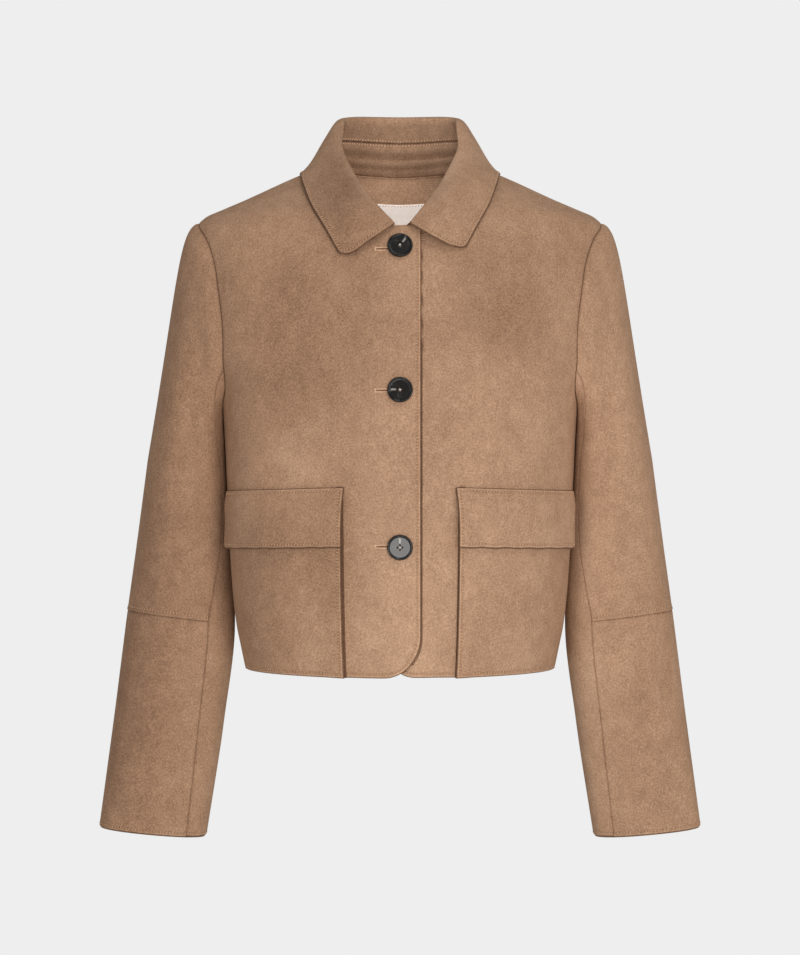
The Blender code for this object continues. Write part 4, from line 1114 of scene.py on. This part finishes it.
def cloth(
    name, form, size, kinds, side=1, thickness=CLOTH, rounding=None, step=BODY_STEP, dense=None, shade=None,
    seam_tone=SEAM_SHADE_TONE,
):
    """A piece of cloth as a closed wall.

    form gives the right side from shares across and up. size is the piece's rough width and length,
    and kinds says how its start, end, bottom and top edges are finished. dense is the shares across
    between which its grid is fine, and shade gives a change of tone at its points.
    """
    across, up = cloth_lines(size[0], step), cloth_lines(size[1], step)
    if dense:
        fine = np.arange(*dense, DENSE_STEP / size[0])
        across = np.concatenate((across[across < fine[0]], fine, across[across > fine[-1]]))
    shares = [lines.ravel() for lines in np.meshgrid(across, up, indexing="ij")]
    shape = (len(across), len(up), 3)
    distances = edge_distances(form(*shares).reshape(shape))
    sink, rise = edge_shape(kinds, distances)
    start, end, bottom, top = (move.ravel() for move in cut_back(kinds, distances))
    inner = (shares[0] + (start - end) / size[0], shares[1] + (bottom - top) / size[1])
    if rounding:
        shares, inner = rounding(*shares), rounding(*inner)
    points = form(*inner).reshape(shape)
    facing = side * piece_normals(form, size, *inner).reshape(shape)
    tones = np.stack(edge_wear_and_shade(kinds, distances, seam_tone))
    tones[0] += painted_light_tone(points, facing)
    if shade:
        tones = tones + shade(points, inner[1].reshape(shape[:2]), inner[0].reshape(shape[:2]))
    right_side = points - facing * sink[..., None]
    wrong_side = form(*shares).reshape(shape) - facing * (thickness - rise)[..., None]
    turn_under(wrong_side, kinds)
    mesh, line_across, line_up, layer = unit_slab(name, across, up)
    corners = np.stack((right_side, wrong_side))[layer, line_across, line_up]
    mesh.vertices.foreach_set("co", corners.ravel())
    # this attribute carries the scuffs and all the painted light and shade worked out above
    wear_and_painted_light = mesh.attributes.new("wear_and_painted_light", "FLOAT", "POINT")
    wear_and_painted_light.data.foreach_set("value", tones[layer, line_across, line_up])
    if signed_volume(mesh, corners) < 0:
        mesh.flip_normals()
    mesh.update()
    return new_piece(name, mesh)


def suede(name, *details, **more):
    """A piece of suede that stands for a CAD node."""
    return settle(cloth(f"{name}_suede", *details, **more), SUEDE, (name,))


def piece_normals(form, size, across, up):
    """Normals of the right side, taken over half a millimetre either way."""
    step_across, step_up = NORMAL_STEP / size[0], NORMAL_STEP / size[1]
    inside_across = np.clip(across, step_across, 1 - step_across)
    inside_up = np.clip(up, step_up, 1 - step_up)
    return normals_of(form, inside_across, inside_up, step_across, step_up)


# ---- stitches

def stitched(name, form, size, kinds, runs, side=1, rounding=None, **more):
    """A piece of suede, and the row of stitches inside its edges."""
    piece = suede(name, form, size, kinds, side, rounding=rounding, **more)
    path = inset_path(form, runs)
    return piece, sew(f"{name}_stitches", [walk(form, size, side, path, rounding)])


def stitch_template(length, thickness):
    """One low stitch, a few dozen faces, lying along X: its points and faces."""
    bm = bmesh.new()
    bmesh.ops.create_uvsphere(bm, u_segments=6, v_segments=5, radius=0.5)
    bmesh.ops.rotate(bm, verts=bm.verts[:], matrix=Matrix.Rotation(math.pi / 2, 3, "Y"))
    bmesh.ops.scale(bm, verts=bm.verts[:], vec=(length, thickness, thickness * STITCH_FLATNESS))
    points = np.array([vertex.co for vertex in bm.verts])
    faces = [[vertex.index for vertex in face.verts] for face in bm.faces]
    bm.free()
    return points, faces


def walk(form, size, side, path, rounding=None):
    """Points, directions and normals at every stitch along a path of shares across and up."""
    corners = np.array(path, dtype=float)
    legs = np.linspace(0, len(corners) - 1, (len(corners) - 1) * WALK_STEPS + 1)
    shares = [np.interp(legs, np.arange(len(corners)), corners[:, place]) for place in range(2)]
    if rounding:
        shares = rounding(*shares)
    line = form(*shares)
    facing = side * piece_normals(form, size, *shares)
    far = np.concatenate(([0], np.cumsum(np.linalg.norm(np.diff(line, axis=0), axis=1))))
    count = max(1, round(far[-1] / STITCH_PITCH))
    middles = (np.arange(count) + 0.5) * far[-1] / count
    reach = STITCH_LENGTH / 2

    def at(distance):
        return np.stack([np.interp(distance, far, line[:, axis]) for axis in range(3)], axis=-1)

    normals = np.stack([np.interp(middles, far, facing[:, axis]) for axis in range(3)], axis=-1)
    return at(middles), unit(at(middles + reach) - at(middles - reach)), unit(normals)


def sew(name, runs, material=THREAD_TAN, length=STITCH_LENGTH, thickness=THREAD, slant=STITCH_SLANT):
    """Join every stitch of these runs into one piece, each stitch slanted to its row."""
    points, faces = stitch_template(length, thickness)
    centres, row, out = (np.concatenate([run[place] for run in runs]) for place in range(3))
    beside = unit(np.cross(out, row))
    along = row * math.cos(slant) + beside * math.sin(slant)
    sideways = unit(np.cross(out, along))
    upright = np.cross(along, sideways)
    axes = np.stack((along, sideways, upright), axis=-1)
    placed = np.einsum("nij,kj->nki", axes, points) + (centres + upright * STITCH_SEAT)[:, None, :]
    joined = [
        [corner + number * len(points) for corner in face] for number in range(len(centres)) for face in faces
    ]
    mesh = bpy.data.meshes.new(name)
    mesh.from_pydata(placed.reshape(-1, 3).tolist(), [], joined)
    return settle(new_piece(name, mesh), material)


def inset_line(form, edge, first, last, distance):
    """Shares of a line at a distance inside one edge of a piece."""
    along = np.linspace(first, last, INSET_POINTS)
    place, probe = (0.0, INSET_PROBE) if edge in ("start", "bottom") else (1.0, -INSET_PROBE)

    def shares(off):
        pair = np.full_like(along, place) + off, along
        return pair if edge in ("start", "end") else pair[::-1]

    span = np.linalg.norm(form(*shares(probe)) - form(*shares(0.0)), axis=-1)
    return np.stack(shares(probe * distance / span), axis=-1)


def inset_path(form, runs, distance=STITCH_INSET):
    """A path of shares at a distance inside a piece's edges. Each run is an edge and where it starts and
    ends along it. The path turns where the lines of two runs cross."""
    lines = [inset_line(form, *run, distance) for run in runs]
    for number, (before, after) in enumerate(zip(lines, lines[1:])):
        up = runs[number][0] in ("start", "end")
        corner = np.array((before[-1, 0], after[0, 1]) if up else (after[0, 0], before[-1, 1]))
        this, other = (1, 0) if up else (0, 1)
        short = np.abs(before[:, this] - before[0, this]) < abs(corner[this] - before[0, this])
        clear = np.abs(after[:, other] - after[-1, other]) < abs(corner[other] - after[-1, other])
        lines[number] = np.concatenate((before[short], corner[None]))
        lines[number + 1] = after[clear]
    return np.concatenate(lines)


# ---- folds

def near_line(points, line):
    """1 along a line seen from the front, fading over its width and towards its ends."""
    run = np.array((line.low_x - line.top_x, line.low_z - line.top_z))
    length = np.linalg.norm(run)
    run = run / length
    off_x, off_z = points[..., 0] - line.top_x, points[..., 2] - line.top_z
    along = (off_x * run[0] + off_z * run[1]) / length
    return bell(off_x * run[1] - off_z * run[0], line.width) * ease(LINE_REACH - 2 * np.abs(along - 0.5))


def fold(points, facing, part):
    """Lift or sink points along their normals by the soft folds of a part."""
    lift = sum(line.rise * near_line(points, line) for line in FOLDS if line.part == part)
    towards = 1.0 if part.endswith("back") else -1.0
    return points + facing * (lift * ease(towards * facing[..., 1] * FACING_FADE))[..., None]


def painted_light_tone(points, facing):
    """The painted light and shade of the broad patches, on what faces the front."""
    tone = sum(patch.tone * near_line(points, patch) for patch in PAINTED_LIGHT_PATCHES)
    return ease(-facing[..., 1] * FACING_FADE) * tone


def on_panel(side, turn, height, out, part):
    """A point off a body panel on one side of the jacket, with that panel's folds."""
    points, facing = body_point(turn, height), body_normal(turn, height)
    points[..., 0] *= side
    facing[..., 0] *= side
    return fold(points, facing, part) + facing * np.asarray(out)[..., None]


# ---- body panels

FRONT_SIZE = (0.230, 0.500)
BACK_SIZE = (0.440, 0.500)


def past_outer_edge(across, height):
    """How far a place on the under front lies past the outer front's edge, round its lower corner too."""
    low = np.minimum(height - LEVELS[0].centre - HEM_CORNER, 0)
    aside = np.maximum(across - FRONT_EXTENSION + HEM_CORNER, 0)
    return np.hypot(aside, low) - HEM_CORNER


def under_edge(across, height):
    """1 along the line where the outer front's edge rests on the under front, fading to both sides."""
    return bell(past_outer_edge(across, height) - GROOVE_PLACE, GROOVE_WIDTH)


def front_form(side, sunk):
    """The right side of a front; sunk is how deep the front underneath lies near its edge."""

    def form(across, up):
        turn, height = front_place(across * FRONT_COLUMNS, up * PANEL_ROWS)
        sideways = body_radius(turn, height) * np.sin(turn)
        fade = ease((sideways - FRONT_EXTENSION - UNDERLAP_MARGIN) / UNDERLAP_FADE)
        groove = GROOVE_DEPTH * under_edge(sideways, height) if sunk else 0
        return on_panel(side, turn, height, -sunk * (1 - fade) - groove, "front")

    return form


def hem_corner(across, up):
    hem_depth = follow(BODY, "front_depth", LEVELS[0].centre)
    to_pocket = FRONT_EXTENSION + hem_depth * math.tan(POCKET_INNER)
    size_across = HEM_CORNER / to_pocket * FRONT_SPANS[0] / FRONT_COLUMNS
    return round_off(across, up, size_across, row_at("hem corner") / PANEL_ROWS)


# Painted shadow: the under front is drawn darker along the outer front's edge.
def groove_shade(points, _up, _across):
    return -GROOVE_SHADOW_TONE * under_edge(points[..., 0], points[..., 2])


def front_panel(word, side, sunk):
    neck_end = (LOWER_ROWS + NECK_CORNER_ROW - STITCH_STOP) / PANEL_ROWS
    under = {"dense": GROOVE_SPAN, "shade": groove_shade} if sunk else {}
    panel, stitches = stitched(
        f"front_{word}", front_form(side, sunk), FRONT_SIZE, ("raw", "sewn", "raw", "sewn"),
        (("start", neck_end, 0.0), ("bottom", 0.0, 1.0)), side, hem_corner, **under,
    )


def back_form(across, up):
    turn, height = back_place(across * BACK_COLUMNS, up * PANEL_ROWS)
    return on_panel(1, turn, height, 0 * turn, "back")


def back_panel():
    kinds = ("sewn", "sewn", "raw", "sewn")
    panel, stitches = stitched("back", back_form, BACK_SIZE, kinds, (("bottom", 0.0, 1.0),))


# ---- pockets

POCKET_SIZE = (0.150, 0.168)
FLAP_SIZE = (0.152, 0.060)


def gusset_lift(across):
    """How far a pocket stands off the front towards its inner edge, where a narrow gusset joins it."""
    return GUSSET_LIFT * ease(1 - across * POCKET_SIZE[0] / GUSSET_FADE)


def pocket_form(side):
    mouth = row_at("pocket mouth")

    def form(across, up):
        column, row = FRONT_SPANS[0] + across * FRONT_SPANS[1], up * mouth
        turn, height = front_place(column, row)
        out = pocket_out(column, row) + CLOTH + gusset_lift(across)
        return on_panel(side, turn, height, out, "front")

    return form


def flap_form(side):
    bottom, mouth, top = row_at("flap bottom"), row_at("pocket mouth"), row_at("flap top")

    def form(across, up):
        column, row = FRONT_SPANS[0] + across * FRONT_SPANS[1], blend(bottom, top, up)
        waves = np.sin(across * FLAP_WAVES * 2 * math.pi + side)
        row = row + FLAP_WAVE * waves * (1 - ease(up * FLAP_WAVE_FADE))
        turn, height = front_place(column, row)
        tuck = FLAP_TUCK * ease(FLAP_TUCK_FADE - up * FLAP_TUCK_FADE)
        turn = turn - FLAP_OVERHANG * (1 - ease(across * FRONT_SPANS[1])) * (1 - tuck)
        over_pocket = pocket_out(column, np.minimum(row, mouth)) + CLOTH + LAY_GAP
        caught = blend(FLAP_CORNER_LIFT, FLAP_CAUGHT_LIFT, ease((row - bottom) / (mouth - bottom)))
        stands_off = blend(1.0, caught, ease((across - FLAP_CAUGHT) / (1 - FLAP_CAUGHT)))
        lifted = over_pocket + stands_off * (FLAP_LIFT + FLAP_FLARE * (mouth - row) / (mouth - bottom))
        lifted = lifted + gusset_lift(across)
        out = np.where(row > mouth, blend(lifted, LAY_GAP, (row - mouth) / (top - mouth)), lifted)
        ripples = np.sin(across * FLAP_RIPPLES * 2 * math.pi + side)
        ripple = FLAP_RIPPLE * ripples * (1 - ease(up * FLAP_RIPPLE_FADE))
        return on_panel(side, turn, height, out + CLOTH + ripple, "front")

    return form


def gusset_form(side, shows):
    """The strip beside a pocket's inner edge, from just under the pocket to just past its edge, in dark suede
    as painted shade.
    """

    def form(across, up):
        turn, height = front_place(np.full_like(across, float(FRONT_SPANS[0])), up * row_at("flap top"))
        sideways = GUSSET_WIDTH - shows - across * GUSSET_WIDTH
        rise = GUSSET_LIFT * ease(1 - across * GUSSET_SLOPE) * GUSSET_SHARE
        return on_panel(side, turn + sideways / body_radius(turn, height), height, LAY_GAP + rise, "front")

    return form


def pocket(word, side):
    name = f"pocket_{word}"
    piece, stitches = stitched(
        name, pocket_form(side), POCKET_SIZE, ("raw", "raw", "raw", "plain"),
        (("start", 1, 0), ("bottom", 0, 1), ("end", 0, 1)), side, step=SMALL_STEP,
    )
    # the gusset strip is dark suede, painted shade beside the pocket's edge
    strip = cloth(
        f"{name}_gusset", gusset_form(side, GUSSET_SHOWS[word]), GUSSET_SIZE, ("plain",) * 4, -side,
        thickness=GUSSET_CLOTH,
    )
    settle(strip, SHADE_DARK_SUEDE)


def pocket_flap(word, side):
    piece, stitches = stitched(
        f"pocket_flap_{word}", flap_form(side), FLAP_SIZE, ("raw",) * 4,
        (("start", 0.93, 0), ("bottom", 0, 1), ("end", 0, 1), ("top", 1, 0.03)), side, step=SMALL_STEP,
    )


# ---- sleeves

ELBOW_DOWN = 1 + ELBOW
HALF_ELBOW_GAP = SLEEVE_SEAM_GAP / SLEEVE_LENGTH / 2
SLEEVE_PIECES = table(
    "part first last foot size flat area",
    ("upper", 0, ELBOW_DOWN - HALF_ELBOW_GAP, "lapped", (0.230, 0.340), (0.245, 0.365), 0.0840),
    ("lower", ELBOW_DOWN + HALF_ELBOW_GAP, 2, "raw", (0.200, 0.210), (0.235, 0.225), 0.0500),
    ("under", 0, 2, "raw", (0.090, 0.460), (0.125, 0.470), 0.0430),
)


def lean_on_body(points):
    """Press a sleeve's side against the body; nearly all the clearance closes where it is small."""
    radius = np.hypot(points[..., 0], points[..., 1])
    clearance = radius - body_radius(np.arctan2(points[..., 0], -points[..., 1]), points[..., 2])
    press = PRESS_SHARE * clearance * bell(clearance, PRESS_REACH) * (clearance > 0)
    for start, full in (PRESS_TOP, PRESS_FOOT):
        press = press * ease((points[..., 2] - start) / (full - start))
    points[..., :2] *= (1 - press / radius)[..., None]
    return points


def sleeve_form(side, piece):
    """The right side of a sleeve piece from one level down the sleeve to another."""

    def form(across, up):
        down = blend(piece.first, piece.last, up)
        front, back = follow(SLEEVE_SEAMS, "front", down), follow(SLEEVE_SEAMS, "back", down)
        start, end = (front, back) if piece.part == "under" else (back - 360, front)
        half_gap = math.degrees(SLEEVE_SEAM_GAP / 2 / UPPER_ARM)
        angle = np.radians(blend(start + half_gap, end - half_gap, across))
        points, facing = lean_on_body(sleeve_point(angle, down)), sleeve_normal(angle, down)
        points[..., 0] *= side
        facing[..., 0] *= side
        return fold(fold(points, facing, "sleeve"), facing, "sleeve back")

    return form


def sleeve(word, side):
    for row in SLEEVE_PIECES:
        kinds = ("sewn", "sewn", "sewn", row.foot)
        name, form = f"sleeve_{word}_{row.part}", sleeve_form(side, row)
        piece, stitches = stitched(name, form, row.size, kinds, (("top", 0, 1),), side)


# ---- collar

STAND_SIZE = (0.420, 0.030)
FALL_SIZE = (0.480, 0.080)


def stand_creases(across, up, column):
    """The rise or the tone of the stand's creases, added up."""
    total = 0
    for crease in STAND_CREASES:
        off = up - crease.height - crease.wander * np.sin(across * crease.waves)
        total = total + getattr(crease, column) * bell(off, crease.width)
    return total


def stand_form(across, up):
    round_angle = blend(-COLLAR_END, COLLAR_END, across)
    scale = levels_per_metre(round_angle, 0.0)
    level = blend(NECK_CLEARANCE * scale, 1 - COLLAR_SEAM_GAP / 2 * scale, up)
    points = collar_surface(round_angle, level)
    fade = ease((CREASES_END - np.abs(round_angle)) / CREASES_FADE)
    inwards = stand_creases(across, up, "rise") * fade / np.hypot(points[..., 0], points[..., 1])
    points[..., :2] *= (1 - inwards)[..., None]
    return points


def stand_shade(_points, up, across):
    """Painted shade in the creases and painted light on their crests."""
    return stand_creases(across, up, "tone")


def fall_form(across, up):
    round_angle = blend(-COLLAR_END, COLLAR_END, across)
    start = 1 + COLLAR_SEAM_GAP / 2 * levels_per_metre(round_angle, 1.0)
    return collar_surface(round_angle, blend(start, COLLAR_EDGE, up))


def leaf_corners(across, up):
    """Round the fall's two outer corners."""
    rounded, from_edge = round_off(np.minimum(across, 1 - across), 1 - up, *LEAF_CORNER)
    return np.where(across > 0.5, 1 - rounded, rounded), 1 - from_edge


def collar():
    stand = suede(
        "collar_stand", stand_form, STAND_SIZE, ("plain", "plain", "sewn", "sewn"),
        thickness=STAND_CLOTH, step=SMALL_STEP, shade=stand_shade, seam_tone=COLLAR_SEAM_SHADE_TONE,
    )
    path = inset_path(stand_form, (("top", 0.98, 0.02),), SEAM_STITCH)
    row = [walk(stand_form, STAND_SIZE, 1, path)]
    stitches = [sew("collar_stand_stitches", row, THREAD_PALE, thickness=NECK_THREAD)]

    fall = suede(
        "collar_fall", fall_form, FALL_SIZE, ("raw", "raw", "sewn", "raw"),
        thickness=FALL_CLOTH, rounding=leaf_corners, step=SMALL_STEP, seam_tone=COLLAR_SEAM_SHADE_TONE,
    )
    seam = inset_path(fall_form, (("bottom", 0.02, 0.98),), SEAM_STITCH)
    edge = inset_path(fall_form, (("start", 0.3, 1), ("top", 0, 1), ("end", 1, 0.3)))
    row = [walk(fall_form, FALL_SIZE, 1, seam)]
    stitches = [
        sew("collar_seam_stitches", row, THREAD_PALE, thickness=NECK_THREAD),
        sew("collar_edge_stitches", [walk(fall_form, FALL_SIZE, 1, edge, leaf_corners)]),
    ]


# ---- label

LABEL_SIZE = (0.074, 0.025)


def label_form(across, up):
    column = BACK_COLUMNS / 2 + blend(-LABEL_COLUMNS, LABEL_COLUMNS, across)
    turn, height = back_place(column, LOWER_ROWS + blend(LABEL_BOTTOM_ROW, LABEL_TOP_ROW, up))
    return on_panel(1, turn, height, -CLOTH - LABEL_GAP - LABEL_CLOTH, "back")


def neck_label():
    """The bare label. Its right side faces the neck, so its wall grows towards the back."""
    plain = ("plain",) * 4
    piece = cloth("neck_label_satin", label_form, LABEL_SIZE, plain, -1, LABEL_CLOTH, step=SMALL_STEP)
    settle(piece, SATIN, ("neck_label",))
    runs = (("start", 0.95, 0), ("bottom", 0, 1), ("end", 0, 1), ("top", 1, 0.05))
    path = inset_path(label_form, runs, LABEL_STITCH_INSET)
    stitches = sew("neck_label_stitches", [walk(label_form, LABEL_SIZE, -1, path)])


# ---- buttons and buttonholes

def button_place(height):
    """The matrix that sets a button's back on the outer front at the centre line, and its outward way."""
    centre = np.array(height)
    middle = body_point(np.array(0.0), centre)
    outward = body_normal(np.array(0.0), centre)
    rim_turns = np.linspace(0, 2 * math.pi, 17)
    rim = body_point(
        np.arctan2(BUTTON_RADIUS * np.cos(rim_turns), -middle[1]),
        centre + BUTTON_RADIUS * np.sin(rim_turns),
    )
    seat = max(0.0, float(np.max((rim - middle) @ outward))) + BUTTON_SEAT
    turned = Vector((0, 0, 1)).rotation_difference(Vector(outward)).to_matrix().to_4x4()
    return Matrix.Translation(Vector(middle + outward * seat)) @ turned


def button(number, height, holes_turn, glint_turn):
    """A four-hole button: a low rim round a flat face, with the holes drilled in its middle."""
    name = f"button_{number}"
    bm = bmesh.new()
    ring = [bm.verts.new((across, 0, up)) for across, up in BUTTON_PROFILE]
    edges = [bm.edges.new(pair) for pair in zip(ring, ring[1:])]
    bmesh.ops.spin(
        bm, geom=ring + edges, cent=(0, 0, 0), axis=(0, 0, 1), angle=2 * math.pi, steps=72, use_merge=True,
    )
    bmesh.ops.remove_doubles(bm, verts=bm.verts[:], dist=1e-6)
    bmesh.ops.recalc_face_normals(bm, faces=bm.faces[:])
    piece = new_piece(f"{name}_whole", finished(bm, name))
    drills = []
    for corner in range(4):
        angle = holes_turn + corner * math.pi / 2
        centre = (BUTTON_HOLE_OFFSET * math.cos(angle), BUTTON_HOLE_OFFSET * math.sin(angle), 0)
        bm = bmesh.new()
        bmesh.ops.create_cone(
            bm, cap_ends=True, segments=20, radius1=BUTTON_HOLE, radius2=BUTTON_HOLE,
            depth=4 * BUTTON_THICKNESS, matrix=Matrix.Translation(centre),
        )
        drills.append(new_piece("drill", finished(bm, "drill")))
        cut = piece.modifiers.new(f"hole {corner}", "BOOLEAN")
        cut.operation = "DIFFERENCE"
        cut.object = drills[-1]
    graph = bpy.context.evaluated_depsgraph_get()
    drilled = bpy.data.meshes.new_from_object(piece.evaluated_get(graph))
    for spare in [piece, *drills]:
        bpy.data.objects.remove(spare)
    drilled.name = name
    to_glint = Matrix.Rotation(-glint_turn, 3, "Z")
    places = [to_glint @ vertex.co for vertex in drilled.vertices]
    pattern = drilled.attributes.new("pattern", "FLOAT_VECTOR", "POINT")
    pattern.data.foreach_set("vector", np.array(places).ravel())
    place = button_place(height)
    drilled.transform(place)
    body = settle(new_piece(f"{name}_horn", drilled), HORN, (name,))
    body.data.set_sharp_from_angle(angle=BUTTON_SHARP)
    sewn_on(name, place @ Matrix.Rotation(holes_turn, 4, "Z"))


def sewn_on(name, place):
    """The pale thread that crosses through a button's holes with a short shank behind it, and the small
    round of dark suede that the shank is sewn through, which is painted shade in the holes."""
    thread, stay = bmesh.new(), bmesh.new()
    for turn in (0, math.pi / 2):
        for strand in (-1, 1):
            bar = bmesh.ops.create_uvsphere(thread, u_segments=8, v_segments=6, radius=0.5)["verts"]
            bmesh.ops.scale(thread, verts=bar, vec=(STRAND_LENGTH, BUTTON_THREAD, BUTTON_THREAD))
            height = BUTTON_PROFILE[-1][1] + BUTTON_THREAD * (0.15 + 0.25 * turn)
            bmesh.ops.translate(thread, verts=bar, vec=(0, strand * BUTTON_THREAD * STRAND_APART, height))
            bmesh.ops.rotate(thread, verts=bar, matrix=Matrix.Rotation(turn, 3, "Z"))
    for bm, segments, radius, depth, middle in (
        (thread, 12, BUTTON_SHANK, SHANK_DEPTH, -BUTTON_SEAT / 2),
        (stay, 24, BUTTON_STAY, STAY_DEPTH, -STAY_MIDDLE),
    ):
        bmesh.ops.create_cone(
            bm, cap_ends=True, segments=segments, radius1=radius, radius2=radius, depth=depth,
            matrix=Matrix.Translation((0, 0, middle)),
        )
    settle(new_piece(f"{name}_thread", finished(thread, f"{name}_thread", place)), THREAD_GREY)
    # the dark round is painted shade behind the holes
    settle(new_piece(f"{name}_stay", finished(stay, f"{name}_stay", place)), SHADE_DARK_SUEDE)


def buttonhole(number, height):
    """A worked buttonhole: a slit, drawn as a strip of dark suede in painted shade, between two rows of close
    bars, with a bar tack across its outer end.
    """
    bars = np.arange(-BUTTONHOLE_END, -BUTTONHOLE_START, BUTTONHOLE_PITCH)
    half_bar = (BUTTONHOLE_WIDTH - BUTTONHOLE_SLIT) / 4
    beside = np.tile((1.0, -1.0), len(bars)) * (half_bar + BUTTONHOLE_SLIT / 2)
    tack = np.linspace(-1, 1, 8) * (BUTTONHOLE_WIDTH / 2 - BAR_THREAD / 2)
    middle, length = -(BUTTONHOLE_END + BUTTONHOLE_START) / 2, BUTTONHOLE_END - BUTTONHOLE_START
    for part, across, off, way, material, size, thickness in (
        ("bars", np.repeat(bars, 2), beside, (0.0, 0.0, 1.0), THREAD_PINK, half_bar * 2, BAR_THREAD),
        ("tack", -BUTTONHOLE_END - BAR_THREAD + 0 * tack, tack, (1.0, 0.0, 0.0), THREAD_PINK, BAR_THREAD * 3,
         BAR_THREAD),
        # the slit is a strip of dark suede, painted shade in the cut
        ("slit", np.array([middle]), np.zeros(1), (1.0, 0.0, 0.0), SHADE_DARK_SUEDE, length, BUTTONHOLE_SLIT),
    ):
        up = height + off
        turn = np.arctan2(across, follow(BODY, "front_depth", up))
        outward = body_normal(turn, up)
        run = (fold(body_point(turn, up), outward, "front"), np.tile(way, (len(up), 1)), outward)
        sew(f"buttonhole_{number}_{part}", [run], material, size, thickness, 0)


# ---- the view

def soft_light(name, place, width, height, power):
    """A wide soft light that looks at the jacket's middle."""
    lamp = bpy.data.lights.new(name, "AREA")
    lamp.shape = "RECTANGLE"
    lamp.size, lamp.size_y = width, height
    lamp.energy = power
    lamp.color = linear(LIGHT_COLOUR)[:3]
    holder = new_piece(name, lamp)
    holder.location = place
    towards = Vector((0, 0, VIEW_HEIGHT)) - Vector(place)
    holder.rotation_euler = towards.to_track_quat("-Z", "Y").to_euler()
    return holder


def studio():
    scene = bpy.context.scene
    scene.view_settings.view_transform = "Standard"
    scene.world = bpy.data.worlds.new("studio")
    scene.world.use_nodes = True
    tree = scene.world.node_tree
    seen = add_node(tree, "LightPath", "Is Camera Ray")
    strength = add_node(
        tree, "MapRange", "Result", {"Value": seen, "To Min": SKY_LIGHT, "To Max": SKY_SEEN},
    )
    background = tree.nodes["Background"]
    background.inputs["Color"].default_value = linear(BACKDROP)
    tree.links.new(strength, background.inputs["Strength"])

    camera = bpy.data.cameras.new("camera")
    camera.sensor_width = SENSOR
    camera.lens = SENSOR * VIEW_DISTANCE / VIEW_SPAN
    scene.camera = new_piece("camera", camera)
    scene.camera.location = (0, -VIEW_DISTANCE, VIEW_HEIGHT)
    scene.camera.rotation_euler = (math.pi / 2, 0, 0)

    bm = bmesh.new()
    bmesh.ops.create_circle(bm, cap_ends=True, segments=96, radius=FLOOR_RADIUS)
    floor = new_piece("floor", finished(bm, "floor", Matrix.Translation((0, 0, FLOOR))))
    material, _ = start_material("pale painted floor", {"Base Color": linear("ececea"), "Roughness": 0.9})
    floor.data.materials.append(material)

    for light in LIGHTS:
        soft_light(*light)
    in_neck = bpy.data.collections.new("in the neck")
    for name in LIT_IN_NECK:
        in_neck.objects.link(bpy.data.objects[name])
    soft_light(*NECK_LIGHT).light_linking.receiver_collection = in_neck


# ---- the jacket

front_panel("right", -1, 0.0)
front_panel("left", 1, UNDERLAP_DEPTH)
back_panel()
for word, side in (("right", -1), ("left", 1)):
    sleeve(word, side)
    pocket(word, side)
    pocket_flap(word, side)
collar()
neck_label()
for number, height in enumerate(BUTTON_HEIGHTS):
    button(number + 1, height, BUTTON_TURNS[number], GLINT_TURNS[number])
    buttonhole(number + 1, height + BUTTONHOLE_RISES[number])
studio()
